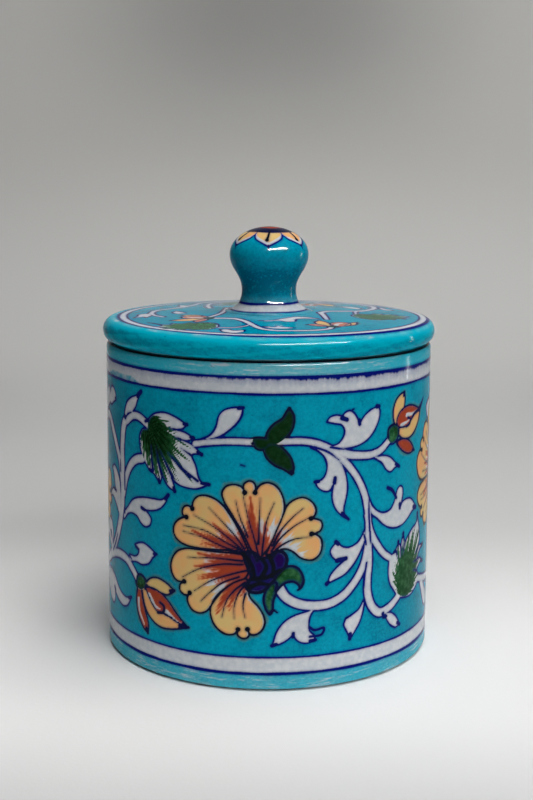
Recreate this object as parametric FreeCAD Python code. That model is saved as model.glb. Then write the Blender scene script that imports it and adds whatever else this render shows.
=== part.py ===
"""A round glazed-ceramic jar with a lift-off lid, as the formed clay parts that are luted together.

The jar is a straight-sided wall, a floor disc pressed into it and a foot ring under both. The lid
is a bull-nosed plate, a locating ring that drops into the jar's mouth, and a turned knob.

Frame: millimetres, +Z up along the jar's axis, origin at the centre of the foot's resting face.
Every part is a solid of revolution about Z, drawn as a half section in the XZ plane.
"""
import FreeCAD, Part
import os

# Jar
BASE_RADIUS = 50.0          # outside of the wall at the base
MOUTH_RADIUS = 49.4         # outside of the wall at the rim, a slight taper
WALL = 5.5                  # wall thickness at the rim
RIM_Z = 93.8                # top of the wall
RIM_ROUND = 1.7             # rounding on both edges of the rim
BASE_ROUND = 0.8            # rounding on the wall's lower outer edge
FLOOR_THICKNESS = 6.8
COVE = 2.5                  # slip smoothed into the corner between floor and wall
COVE_LEDGE = 0.7            # thickness at the cove's upper edge

# Foot
FOOT_HEIGHT = 0.5
FOOT_OUTER_RADIUS = 48.6
FOOT_WIDTH = 8.6
FOOT_ROUND = 0.2

# Lid
LID_RADIUS = 50.4
LID_GAP = 0.1               # between the rim and the seated lid
LID_EDGE_HEIGHT = 6.8       # lid thickness at its edge
LID_LOWER_ROUND = 3.0
LID_UPPER_ROUND = 3.5
LID_RISE = 1.5              # the top rises this much from its edge to the knob
RING_CLEARANCE = 0.9        # radial play of the locating ring in the mouth
RING_WALL = 3.8
RING_DEPTH = 8.0
RING_ROUND = 1.2

# Knob. Heights are measured up from the lid's flat seat.
KNOB_FOOT_RADIUS = 13.4
KNOB_FOOT_EDGE = 0.35       # height of the flare's outer edge
KNOB_FLARE = 3.8            # how far the flare's tangent reaches in from the foot
KNOB_FLARE_SLOPE = 0.25     # its slope there
KNOB_NECK_RADIUS = 8.3
KNOB_NECK_Z = 6.5
KNOB_NECK_BELOW = 3.3       # tangent length below the neck
KNOB_RADIUS = 12.0
KNOB_WIDEST_Z = 17.2
KNOB_WAIST = 4.6            # tangent length at both ends of the curve from neck to ball
KNOB_HEIGHT = 25.5

MOUTH_INNER_RADIUS = MOUTH_RADIUS - WALL
LID_UNDER_Z = RIM_Z + LID_GAP
LID_EDGE_TOP_Z = LID_UNDER_Z + LID_EDGE_HEIGHT
LID_TOP_Z = LID_EDGE_TOP_Z + LID_RISE
DIAGONAL = 0.5 ** 0.5         # sine of 45 degrees, for the middle point of a quarter arc
QUARTER_ELLIPSE = 0.5523      # tangent share that makes a Bezier a quarter of an ellipse


def point(radius, z):
    return FreeCAD.Vector(radius, 0, z)


def line(start, end):
    return Part.LineSegment(point(*start), point(*end)).toShape()


def quarter(centre, radius, start, end):
    """A quarter arc about centre. start and end are unit directions along r or z, such as (1, 0)."""
    def at(r, z):
        return point(centre[0] + radius * r, centre[1] + radius * z)
    middle = ((start[0] + end[0]) * DIAGONAL, (start[1] + end[1]) * DIAGONAL)
    return Part.Arc(at(*start), at(*middle), at(*end)).toShape()


def bezier(*poles):
    curve = Part.BezierCurve()
    curve.setPoles([point(*p) for p in poles])
    return curve.toShape()


def turned(edges):
    """The solid of revolution of a closed half section."""
    section = Part.Face(Part.Wire(edges))
    solid = section.revolve(FreeCAD.Vector(0, 0, 0), FreeCAD.Vector(0, 0, 1), 360)
    return Part.Solid(solid) if solid.ShapeType == "Shell" else solid


def jar_wall():
    inner = MOUTH_INNER_RADIUS
    low = FOOT_HEIGHT
    return turned([
        line((inner, low), (BASE_RADIUS - BASE_ROUND, low)),
        quarter((BASE_RADIUS - BASE_ROUND, low + BASE_ROUND), BASE_ROUND, (0, -1), (1, 0)),
        line((BASE_RADIUS, low + BASE_ROUND), (MOUTH_RADIUS, RIM_Z - RIM_ROUND)),
        quarter((MOUTH_RADIUS - RIM_ROUND, RIM_Z - RIM_ROUND), RIM_ROUND, (1, 0), (0, 1)),
        line((MOUTH_RADIUS - RIM_ROUND, RIM_Z), (inner + RIM_ROUND, RIM_Z)),
        quarter((inner + RIM_ROUND, RIM_Z - RIM_ROUND), RIM_ROUND, (0, 1), (-1, 0)),
        line((inner, RIM_Z - RIM_ROUND), (inner, low)),
    ])


def jar_floor():
    """The disc between the walls, with its cove. It meets the wall face to face."""
    edge = MOUTH_INNER_RADIUS
    low = FOOT_HEIGHT
    top = low + FLOOR_THICKNESS
    cove_centre = (edge - COVE_LEDGE - COVE, top + COVE)
    return turned([
        line((0, low), (edge, low)),
        line((edge, low), (edge, top + COVE)),
        line((edge, top + COVE), (edge - COVE_LEDGE, top + COVE)),
        quarter(cove_centre, COVE, (1, 0), (0, -1)),
        line((edge - COVE_LEDGE - COVE, top), (0, top)),
        line((0, top), (0, low)),
    ])


def foot_ring():
    outer = FOOT_OUTER_RADIUS
    inner = outer - FOOT_WIDTH
    return turned([
        line((inner + FOOT_ROUND, 0), (outer - FOOT_ROUND, 0)),
        quarter((outer - FOOT_ROUND, FOOT_ROUND), FOOT_ROUND, (0, -1), (1, 0)),
        line((outer, FOOT_ROUND), (outer, FOOT_HEIGHT)),
        line((outer, FOOT_HEIGHT), (inner, FOOT_HEIGHT)),
        line((inner, FOOT_HEIGHT), (inner, FOOT_ROUND)),
        quarter((inner + FOOT_ROUND, FOOT_ROUND), FOOT_ROUND, (-1, 0), (0, -1)),
    ])


def lid_plate():
    """Flat below, with a bull-nosed edge and a top that rises gently to a flat seat for the knob."""
    low = LID_UNDER_Z
    lower_centre = (LID_RADIUS - LID_LOWER_ROUND, low + LID_LOWER_ROUND)
    upper_centre = (LID_RADIUS - LID_UPPER_ROUND, LID_EDGE_TOP_Z - LID_UPPER_ROUND)
    return turned([
        line((0, low), (lower_centre[0], low)),
        quarter(lower_centre, LID_LOWER_ROUND, (0, -1), (1, 0)),
        line((LID_RADIUS, lower_centre[1]), (LID_RADIUS, upper_centre[1])),
        quarter(upper_centre, LID_UPPER_ROUND, (1, 0), (0, 1)),
        line((upper_centre[0], LID_EDGE_TOP_Z), (KNOB_FOOT_RADIUS, LID_TOP_Z)),
        line((KNOB_FOOT_RADIUS, LID_TOP_Z), (0, LID_TOP_Z)),
        line((0, LID_TOP_Z), (0, low)),
    ])


def lid_locating_ring():
    """Hangs from the plate into the jar's mouth and keeps the lid centred."""
    outer = MOUTH_INNER_RADIUS - RING_CLEARANCE
    inner = outer - RING_WALL
    low = LID_UNDER_Z - RING_DEPTH
    return turned([
        line((inner + RING_ROUND, low), (outer - RING_ROUND, low)),
        quarter((outer - RING_ROUND, low + RING_ROUND), RING_ROUND, (0, -1), (1, 0)),
        line((outer, low + RING_ROUND), (outer, LID_UNDER_Z)),
        line((outer, LID_UNDER_Z), (inner, LID_UNDER_Z)),
        line((inner, LID_UNDER_Z), (inner, low + RING_ROUND)),
        quarter((inner + RING_ROUND, low + RING_ROUND), RING_ROUND, (-1, 0), (0, -1)),
    ])


def lid_knob():
    """A flared foot, a waisted neck and a slightly flattened ball."""
    base = LID_TOP_Z
    top = base + KNOB_HEIGHT
    foot = (KNOB_FOOT_RADIUS, base + KNOB_FOOT_EDGE)
    neck = (KNOB_NECK_RADIUS, base + KNOB_NECK_Z)
    widest = (KNOB_RADIUS, base + KNOB_WIDEST_Z)
    crown_height = top - widest[1]
    return turned([
        line((0, base), (KNOB_FOOT_RADIUS, base)),
        line((KNOB_FOOT_RADIUS, base), foot),
        bezier(foot,
               (foot[0] - KNOB_FLARE, foot[1] + KNOB_FLARE * KNOB_FLARE_SLOPE),
               (neck[0], neck[1] - KNOB_NECK_BELOW),
               neck),
        bezier(neck,
               (neck[0], neck[1] + KNOB_WAIST),
               (widest[0], widest[1] - KNOB_WAIST),
               widest),
        bezier(widest,
               (widest[0], widest[1] + crown_height * QUARTER_ELLIPSE),
               (widest[0] * QUARTER_ELLIPSE, top),
               (0, top)),
        line((0, top), (0, base)),
    ])


NODES = {
    "jar_wall": jar_wall,
    "jar_floor": jar_floor,
    "foot_ring": foot_ring,
    "lid_plate": lid_plate,
    "lid_locating_ring": lid_locating_ring,
    "lid_knob": lid_knob,
}


def main():
    os.makedirs("parts", exist_ok=True)
    for name, make in NODES.items():
        solid = make()
        if not solid.isValid() or solid.Volume <= 0:
            raise ValueError(name + " is not a valid solid")
        solid.exportStep("parts/" + name + ".step")
        print(name, "volume", round(solid.Volume / 1000, 2), "cm3")


main()
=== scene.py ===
import bpy
import math
import numpy as np
from mathutils import Matrix, Vector


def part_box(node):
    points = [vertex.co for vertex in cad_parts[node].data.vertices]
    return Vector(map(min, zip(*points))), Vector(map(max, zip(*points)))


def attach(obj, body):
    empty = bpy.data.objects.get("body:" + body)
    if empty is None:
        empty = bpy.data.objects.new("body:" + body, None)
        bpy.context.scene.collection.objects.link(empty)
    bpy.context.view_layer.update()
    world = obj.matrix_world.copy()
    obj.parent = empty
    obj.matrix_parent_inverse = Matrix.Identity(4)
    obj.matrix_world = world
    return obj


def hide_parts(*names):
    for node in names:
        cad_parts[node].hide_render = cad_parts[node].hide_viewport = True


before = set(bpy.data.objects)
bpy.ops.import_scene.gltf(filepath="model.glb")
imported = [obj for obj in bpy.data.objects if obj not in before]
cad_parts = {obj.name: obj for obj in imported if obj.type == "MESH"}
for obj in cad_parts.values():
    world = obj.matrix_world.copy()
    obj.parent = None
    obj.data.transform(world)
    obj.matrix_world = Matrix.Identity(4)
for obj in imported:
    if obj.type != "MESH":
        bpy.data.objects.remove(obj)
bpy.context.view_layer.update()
MM = 0.001


# ---------------------------------------------------------------------------------------------
# Paint: layers on a grid of points, in mm. A layer holds a distance in mm, positive inside the
# painted shape, or a strength from 0 to 1. The materials turn them into colour.

LAYERS = {
    "slip": -9.0,      # distance inside the white ground of everything painted
    "bloom": -9.0,     # distance inside petals and buds
    "ink_and_shade": -9.0,       # depth inside a brush line, and inside the line of painted shade on the rim's shoulder
    "soot_and_shade": 0.0,       # how black a line is, from cobalt to black, and black on the rim's line of painted shade
    "ochre": 0.0,
    "rust": 0.0,
    "fern": 0.0,
    "violet": 0.0,
    "thin_and_sheen": 0.0,       # where the turquoise is thin and pale, and a painted reflection on the strip under the lid
    "pool_and_painted_light": 0.0,       # where it is deep, or bright below zero; the bright part on the strip under the lid and on the lid's side is painted light
    "glaze": 0.0,      # where turquoise has run over the white
    "plain": 0.0,      # the unpainted glaze inside
}


def catmull(p0, p1, p2, p3, count):
    """Points of a centripetal Catmull-Rom curve from p1 up to p2, without p2."""
    gaps = [max(float(np.linalg.norm(b - a)), 1e-6) ** 0.5 for a, b in ((p0, p1), (p1, p2), (p2, p3))]
    t = np.cumsum([0.0] + gaps)
    x = np.linspace(t[1], t[2], count, endpoint=False)[:, None]

    def mix(a, b, start, end):
        return a + (b - a) * (x - start) / (end - start)
    a1, a2, a3 = mix(p0, p1, t[0], t[1]), mix(p1, p2, t[1], t[2]), mix(p2, p3, t[2], t[3])
    return mix(mix(a1, a2, t[0], t[2]), mix(a2, a3, t[1], t[3]), t[1], t[2])


def smooth(points, closed=False, step=0.6):
    """A smooth line through the points. A point with a third value is a corner."""
    points = list(points)
    if closed:
        first = next((i for i, p in enumerate(points) if len(p) > 2), None)
        if first is None:
            ring = [np.array(p, float) for p in points]
            n = len(ring)
            runs = [[ring[(i + k) % n] for k in (-1, 0, 1, 2)] for i in range(n)]
            return np.concatenate([catmull(*r, sections(r[1], r[2], step)) for r in runs])
        points = points[first:] + points[:first + 1]
    line = []
    start = 0
    for end in range(1, len(points)):
        if len(points[end]) > 2 or end == len(points) - 1:
            run = [np.array(p[:2], float) for p in points[start:end + 1]]
            run = [2 * run[0] - run[1]] + run + [2 * run[-1] - run[-2]]
            for i in range(len(run) - 3):
                line.append(catmull(*run[i:i + 4], sections(run[i + 1], run[i + 2], step)))
            start = end
    if not closed:
        line.append(np.array(points[-1][:2], float)[None])
    return np.concatenate(line)


def sections(a, b, step):
    return max(2, int(math.ceil(float(np.linalg.norm(b - a)) / step)))


def ramp(x, low, high):
    """0 below low, 1 above high, and smooth between."""
    t = np.clip((x - low) / (high - low), 0, 1)
    return t * t * (3 - 2 * t)


def ripple(x, seed):
    """A smooth irregular wave from about -1 to 1, about one swing per unit of x."""
    return (0.5 * np.sin(5.1 * x + 1.7 * seed) + 0.3 * np.sin(9.7 * x + 4.1 * seed + 1)
            + 0.25 * np.sin(17.3 * x + 2.3 * seed + 2))


class Paint:
    """The layers, seen from a motif's own place: at(...) gives the same layers in its axes."""

    def __init__(self, u, v, layers=None, scale=1.0):
        self.u, self.v, self.scale = u.ravel(), v.ravel(), scale
        self.layers = layers or {name: np.full(self.u.shape, start) for name, start in LAYERS.items()}

    def at(self, move=(0, 0), turn=0.0, scale=1.0, flip=False, centre=(0, 0)):
        """Puts the motif's point centre at move, scaled, flipped top to bottom, then turned."""
        x, y = (self.u - move[0]) / scale, (self.v - move[1]) / scale
        c, s = math.cos(math.radians(turn)), math.sin(math.radians(turn))
        x, y = c * x + s * y, c * y - s * x
        if flip:
            y = -y
        return Paint(x + centre[0], y + centre[1], self.layers, self.scale * scale)

    def near(self, line, reach):
        low, high = line.min(0) - reach, line.max(0) + reach
        k = np.nonzero((self.u > low[0]) & (self.u < high[0]) & (self.v > low[1]) & (self.v < high[1]))[0]
        return k, np.stack([self.u[k], self.v[k]], 1)

    def raise_layer(self, name, k, value):
        layer = self.layers[name]
        layer[k] = np.maximum(layer[k], value)

    def cover(self, name, value):
        """Raises a layer everywhere."""
        self.layers[name] = np.maximum(self.layers[name], value)

    def lower(self, names, k, kept):
        """Leaves the share kept of each named strength."""
        for name in names:
            self.layers[name][k] *= kept

    def clear(self, names, k, gone):
        """Takes the named layers back to their start where gone is true."""
        for name in names:
            self.layers[name][k] = np.where(gone, LAYERS[name], self.layers[name][k])

    def ribbon(self, points, start, end=None, middle=None, reach=2.6):
        """Depth inside a brush stroke: half its width at the start, the middle and the end."""
        line = smooth(points)
        k, p = self.near(line, reach + max(start, end or 0, middle or 0))
        if not len(k):
            return k, p, np.zeros(0)
        end = start if end is None else end
        along = np.linspace(0, 1, len(line))
        half = np.interp(along, (0, 1), (start, end)) if middle is None else np.interp(
            along, (0, 0.5, 1), (start, middle, end))
        a, d = line[:-1], line[1:] - line[:-1]
        offset = p[:, None] - a
        t = np.clip((offset * d).sum(2) / (d * d).sum(1), 0, 1)
        gap = np.linalg.norm(offset - t[..., None] * d, axis=2)
        depth = (half[:-1] + t * (half[1:] - half[:-1]) - gap).max(1)
        return k, p, depth * self.scale

    def region(self, points, reach=2.6):
        """Signed distance inside a closed outline."""
        ring = smooth(points, closed=True)
        k, p = self.near(ring, reach)
        if not len(k):
            return k, p, np.zeros(0)
        a, b = ring, np.roll(ring, -1, 0)
        d = b - a
        offset = p[:, None] - a
        t = np.clip((offset * d).sum(2) / np.maximum((d * d).sum(1), 1e-9), 0, 1)
        gap = np.linalg.norm(offset - t[..., None] * d, axis=2).min(1)
        rise = np.where(np.abs(d[:, 1]) < 1e-9, 1e-9, d[:, 1])
        crossed = (a[:, 1] > p[:, 1:]) != (b[:, 1] > p[:, 1:])
        right = p[:, :1] < a[:, 0] + (p[:, 1:] - a[:, 1]) * d[:, 0] / rise
        inside = (crossed & right).sum(1) % 2 == 1
        return k, p, np.where(inside, gap, -gap) * self.scale

    # What the painter does

    def stem(self, points, start, end=None, middle=None):
        k, _, depth = self.ribbon(points, start, end, middle)
        self.raise_layer("slip", k, depth)

    def leaf(self, points):
        k, p, depth = self.region(points)
        self.raise_layer("slip", k, depth)
        return k, p, depth

    def line(self, points, start, end=None, middle=None, soot_and_shade=None):
        k, _, depth = self.ribbon(points, start, end, middle)
        self.raise_layer("ink_and_shade", k, depth)
        if soot_and_shade is not None:
            self.raise_layer("soot_and_shade", k, soot_and_shade * ramp(depth, -0.5, 0.2))

    def edge(self, outline, half, soot_and_shade):
        """An ink line all the way round an outline."""
        self.line(outline + outline[:1], half, soot_and_shade=soot_and_shade)

    def dot(self, x, y, size, soot_and_shade=None):
        self.line([(x - 0.01, y), (x + 0.01, y)], size, soot_and_shade=soot_and_shade)

    def wash(self, layer, points, start, end, edge=0.9, comb=None):
        """A soft-edged stroke of colour. The brush's hairs run out from the point comb."""
        k, p, depth = self.ribbon(points, start, end)
        if comb:
            x, y = p[:, 0] - comb[0], p[:, 1] - comb[1]
            depth = depth + 0.6 * ripple(np.arctan2(y, x) * 16, len(points) + points[-1][1])
        self.raise_layer(layer, k, ramp(depth, -edge * 0.5, edge * 0.5))


# ---------------------------------------------------------------------------------------------
# The flower, the buds and the feathered leaves, where they stand on the unrolled wall: mm to the
# right of the front, and mm up from the foot.

FLOWER_HEART = (-2.0, 36.5)
PETALS = [
    # outline, veins, rust strokes (points, half width at the heart), radius where ochre begins
    ([(-6.7, 45.5), (-9.9, 51.0), (-12.4, 55.0), (-12.9, 57.2), (-11.7, 59.0), (-9.5, 59.6),
      (-7.4, 59.0), (-6.5, 57.5, 1), (-6.8, 59.6), (-5.6, 60.7), (-4.2, 60.5), (-3.5, 59.2),
      (-3.6, 57.6, 1), (-2.3, 59.6), (-0.2, 60.4), (2.3, 59.3), (4.0, 56.5), (4.5, 53.5),
      (3.9, 50.5), (2.4, 47.0), (0.5, 42.5), (-3.0, 38.0, 1)],
     [[(-6.9, 56.5), (-5.7, 51), (-3.8, 44.5), (-2.5, 39.5)], [(-2.2, 56.0), (-2.4, 50), (-2.6, 43)],
      [(1.7, 54.7), (-0.2, 50), (-1.3, 43.5), (-1.6, 40)], [(-9.0, 55), (-8.0, 51), (-5.6, 45)]],
     [([(-2.8, 40), (-4.2, 47), (-4.9, 56)], 2.3), ([(-2.0, 40), (-1.0, 45), (-0.6, 49)], 1.3),
      ([(-4.5, 41), (-7.0, 45), (-8.8, 49)], 1.5)], 13.0),
    ([(-5.0, 40.0, 1), (-7.7, 46.0), (-9.9, 49.8), (-12.7, 53.5), (-15.3, 55.3), (-18.3, 55.9),
      (-20.4, 55.3), (-21.6, 53.8), (-21.9, 51.8, 1), (-23.2, 52.4), (-24.5, 52.0), (-25.1, 50.8),
      (-24.9, 49.6), (-23.8, 49.1, 1), (-25.2, 48.7), (-26.8, 47.7), (-27.9, 46.2), (-28.1, 44.2),
      (-26.9, 42.3), (-24.2, 41.1), (-19.7, 40.7), (-14.7, 40.8), (-9.7, 40.7), (-5.0, 39.0, 1)],
     [[(-16.7, 52.5), (-13.5, 49.5), (-9.5, 45.5), (-6.5, 41.5)],
      [(-21.4, 50.0), (-15.5, 47.3), (-10.5, 44), (-7, 41)],
      [(-24.7, 46.6), (-18, 45.9), (-11.7, 43), (-7, 40.8)],
      [(-24.9, 44.9), (-18.7, 43.9), (-12, 41.6), (-7, 40.3)]],
     [([(-5, 40), (-11, 44.5), (-15.5, 48)], 2.2), ([(-5, 40), (-13, 42.7), (-22, 45.4)], 2.1),
      ([(-6, 40.5), (-13, 41.8), (-19, 42.2)], 1.3)], 15.0),
    ([(-5.0, 39.5, 1), (-9.7, 40.1), (-14.7, 40.1), (-20.7, 40.2), (-23.9, 40.0), (-26.8, 38.8),
      (-28.6, 36.4), (-29.1, 33.7), (-28.4, 31.5), (-26.9, 30.2), (-24.6, 30.3, 1), (-25.9, 29.2),
      (-26.0, 27.6), (-24.9, 26.6), (-23.6, 26.5), (-22.8, 27.2, 1), (-23.5, 25.8), (-23.2, 24.0),
      (-21.8, 22.3), (-19.7, 21.8), (-17.7, 22.5), (-16.2, 24.3), (-14.7, 26.5), (-12.7, 29.0),
      (-9.7, 31.5), (-6.0, 33.5)],
     [[(-23.4, 37.5), (-14.7, 38.3), (-7, 38)], [(-25.2, 31.5), (-19.7, 34.7), (-13, 36.7), (-7, 37)],
      [(-21.4, 28), (-16.2, 31.6), (-9.7, 34.2), (-5.2, 35.5)],
      [(-19.3, 25.3), (-16.2, 28.5), (-12.7, 31.4), (-8, 33.4)]],
     [([(-5, 38), (-13, 38.6), (-20, 39)], 1.8), ([(-5, 37.5), (-13, 36.5), (-21, 35.2)], 2.8),
      ([(-5, 36.5), (-12, 34.2), (-20, 32.2)], 2.4), ([(-5, 36), (-10, 33), (-14.5, 31)], 1.3)], 16.0),
    ([(-6.0, 33.0, 1), (-8.2, 32.3), (-11.2, 30.5), (-14.2, 27.8), (-15.9, 25.0), (-16.3, 22.0),
      (-15.2, 19.0), (-13.2, 17.1), (-11.2, 16.4), (-9.3, 16.8), (-8.3, 18.1, 1), (-8.4, 16.6),
      (-7.4, 15.7), (-6.2, 15.6), (-5.2, 16.5), (-5.6, 18.3, 1), (-4.7, 16.9), (-3.2, 16.9),
      (-1.7, 18.0), (-0.8, 20.0), (-1.2, 22.5), (-2.7, 25.0), (-4.4, 26.8), (-5.3, 28.5), (-5.0, 31.0)],
     [[(-13.0, 21.3), (-11.7, 26), (-9.7, 29), (-6.5, 31.8)],
      [(-9.4, 21.3), (-9.4, 24.7), (-8.2, 28.5), (-5.7, 32)], [(-6.3, 21.7), (-6.9, 25), (-6.2, 28.7)]],
     [([(-6, 33), (-10.5, 29.5), (-14.6, 22.5)], 2.0), ([(-6, 33), (-9, 29), (-11, 24)], 1.4),
      ([(-5.5, 32.5), (-7.3, 28)], 1.0)], 9.5),
    ([(-0.5, 40.0, 1), (1.4, 44.5), (2.8, 47.9), (4.3, 51.5), (5.4, 54.0), (7.3, 55.5), (9.8, 56.0),
      (12.1, 54.8), (13.4, 52.8), (13.2, 51.0), (12.1, 50.0, 1), (13.6, 49.7), (14.9, 49.1),
      (15.4, 47.9), (14.9, 46.5), (13.8, 45.9), (12.3, 45.6, 1), (13.9, 45.1), (15.1, 43.8),
      (15.3, 41.5), (14.6, 39.5), (12.8, 38.2), (10.8, 38.3), (8.8, 39.2), (7.3, 40.6), (5.3, 41.6),
      (3.1, 41.3), (1.0, 39.0)],
     [[(9.8, 53), (6.8, 50.5), (3.3, 46.5), (1.3, 42.5)], [(11.6, 50.3), (7.3, 48), (3.3, 44.5), (1, 41)],
      [(12.3, 44.8), (7.3, 44.3), (4.3, 43), (2.3, 41.5)]],
     [([(-0.5, 40), (1.5, 43), (3.6, 47)], 1.5), ([(0, 40), (3.4, 43.2)], 1.2)], 12.5),
]
HEART = [(-7.0, 40.3), (-5.7, 36.5), (-4.6, 33.4), (-6.1, 30.8), (-4.7, 29.2), (-1.7, 29.3), (0.5, 31.2),
         (2.9, 34), (4.9, 36.6), (5.3, 39), (4.3, 40.6), (2.3, 41.0), (0.5, 39.6), (-1.7, 38.9), (-4.6, 40.8)]
CALYX = [
    [(1.4, 31.5), (2.2, 34.0), (3.9, 35.9), (6.1, 36.7), (8.5, 35.9), (9.9, 33.6), (10.1, 31.6),
     (9.2, 30.0, 1), (8.4, 31.4), (7.1, 32.1), (4.9, 31.8), (3.4, 30.6), (2.3, 29.4)],
    [(0.5, 31.6), (-0.8, 29.0), (-1.1, 26.5), (-0.5, 24.2), (0.7, 22.7), (1.4, 23.8), (1.6, 26.5),
     (2.4, 29.2), (2.4, 32)],
]


def flower(p):
    for number, (outline, veins, strokes, pale) in enumerate(PETALS):
        k, xy, depth = p.leaf(outline)
        if not len(k):
            continue
        p.raise_layer("bloom", k, depth)
        p.raise_layer("soot_and_shade", k, 0.85 * ramp(depth, -1.2, -0.6))
        x, y = xy[:, 0] - FLOWER_HEART[0], xy[:, 1] - FLOWER_HEART[1]
        radius, angle = np.hypot(x, y), np.arctan2(y, x)
        # Ochre starts at its own radius and leaves white along the petal's right edge
        start = pale - 2.2 + 2.6 * ripple(angle * 5, number) + 1.2 * ramp(depth, 1.6, 0.2)
        j, _, inner = p.region([(c[0] - 0.35, c[1] - 0.1, *c[2:]) for c in outline])
        shifted = np.full(len(p.u), -9.0)
        shifted[j] = inner
        p.raise_layer("ochre", k, ramp(radius, start - 0.4, start + 3.2) * ramp(shifted[k], -0.1, 0.45))
        near = ramp(radius, 10.5 + 2.0 * ripple(angle * 9, number + 3), 7.5)
        p.raise_layer("rust", k, near * ramp(depth, 0.4, 1.3))
        p.edge(outline, 0.25, 0.95)
        for points, half in strokes:
            p.wash("rust", points, half * 1.3, 0.3, edge=2.0, comb=FLOWER_HEART)
        for vein in veins:
            p.line(vein, 0.12, 0.32, soot_and_shade=0.85)
        for corner in outline[1:-1]:
            if len(corner) > 2:
                p.dot(corner[0], corner[1], 0.76, soot_and_shade=1.0)
    k, _, depth = p.leaf(HEART)
    p.raise_layer("violet", k, ramp(depth, -0.1, 0.5))
    p.lower(("rust", "ochre"), k, 1 - ramp(depth, -0.3, 0.3))
    p.edge(HEART, 0.5, 0.9)
    for points in ([(-7.0, 40.2), (-4.5, 37), (-3.6, 33.2)], [(-4.2, 33), (-0.5, 33.4), (3.4, 35.6)],
                   [(0.4, 39.6), (1.6, 36.5), (1.2, 33.6)], [(-5.2, 30.4), (-2.5, 31.6), (0.2, 31.4)],
                   [(-1.6, 33.6), (-0.4, 36.6), (-1.6, 38.8)]):
        p.line(points, 0.75, 0.55, soot_and_shade=1.0)
    for outline in CALYX:
        k, _, depth = p.leaf(outline)
        p.raise_layer("fern", k, ramp(depth, -0.1, 0.3))
        p.clear(("ink_and_shade",), k, depth > 0.6)
        p.edge(outline, 0.34, 0.8)
    for points in ([(10.0, 31.8), (9.5, 30.3), (8.4, 29.6)], [(0.6, 22.7), (1.6, 24.1), (2.7, 23.3)]):
        p.line(points, 0.4, 0.3, soot_and_shade=0.7)


def bud_petal(p, outline, colour, soot_and_shade):
    k, _, depth = p.leaf(outline)
    p.raise_layer("bloom", k, depth)
    p.raise_layer("soot_and_shade", k, soot_and_shade * ramp(depth, -1.2, -0.6))
    p.lower(("ochre" if colour == "rust" else "rust",), k, 1 - ramp(depth, -0.2, 0.2))
    p.raise_layer(colour, k, 0.95 * ramp(depth, -0.2, 0.5))
    p.clear(("ink_and_shade",), k, depth > 0.5)
    p.edge(outline, 0.27, soot_and_shade)


def scrape(p, points, start, end, names):
    """A stroke that shows the white ground again."""
    k, _, depth = p.ribbon(points, start, end)
    p.lower(names, k, 1 - ramp(depth, -0.2, 0.3))


def cup(p, outline):
    """The green cup at a bud's foot."""
    k, _, depth = p.leaf(outline)
    p.raise_layer("fern", k, ramp(depth, -0.1, 0.4))
    p.clear(("ochre", "rust", "ink_and_shade"), k, depth > 0.1)


def bud_high(p):
    """The bud at the top right: two red petals, one with white in it, and two ochre, one upright."""
    for outline, colour in (
            ([(41.4, 68.6), (43.2, 66.5), (45.7, 64.9), (48.2, 64.2), (51.3, 64.6, 1), (49.7, 66.6),
              (47.7, 68.1), (44.7, 69.0)], "rust"),
            ([(40.6, 73.5), (39.7, 76), (39.8, 78.5), (40.9, 80.7), (42.7, 82.0), (44.9, 82.6, 1),
              (45.3, 80.5), (44.9, 78.2), (43.5, 76.5), (42, 74)], "ochre"),
            ([(41.0, 72), (43.5, 69.7), (46.2, 68.8), (49.2, 69.1), (52.2, 70.8), (54.2, 73.2),
              (55.3, 75.9, 1), (51.5, 75.2), (49.2, 73.9), (46.5, 72.4), (43.5, 72.6)], "ochre"),
            ([(41.6, 72.8), (41.4, 75), (42.8, 77), (45, 78), (47.9, 78.3), (51, 77.7), (53.4, 76.8),
              (55.4, 76.2, 1), (52.5, 76.0), (50, 75.0), (48.3, 73.2), (45.5, 72.4)], "rust")):
        bud_petal(p, outline, colour, 0.6)
    for points, half in (([(43.5, 73.1), (46.3, 73.6), (48.2, 74.2)], 0.6),
                         ([(46.5, 75.6), (49.5, 75.6), (52.8, 76.0)], 0.7)):
        scrape(p, points, half, 0.25, ("rust",))
    p.line([(47.0, 74.8), (48.6, 74.2), (48.3, 72.9), (46.5, 72.2)], 0.4, 0.3, soot_and_shade=0.6)
    p.line([(54.6, 76.1), (56.2, 77.3), (58.2, 79.0)], 0.8, 0.3, middle=0.65, soot_and_shade=0.3)
    p.line([(50.4, 64.8), (51.6, 64.5)], 0.5, 0.3, soot_and_shade=0.4)
    p.line([(44.6, 81.6), (45.1, 82.6)], 0.5, 0.4, soot_and_shade=0.4)
    cup(p, [(37.4, 71.0), (37.9, 73.2), (40, 73.9), (41.9, 73.1), (42.4, 70.9), (41.2, 69.0), (39.2, 68.3),
            (37.9, 69.2)])
    p.line([(37.6, 70.0), (37.6, 72.8), (40, 73.9), (42.3, 72.8), (42.4, 70.6)], 0.3, soot_and_shade=0.8)


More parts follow.
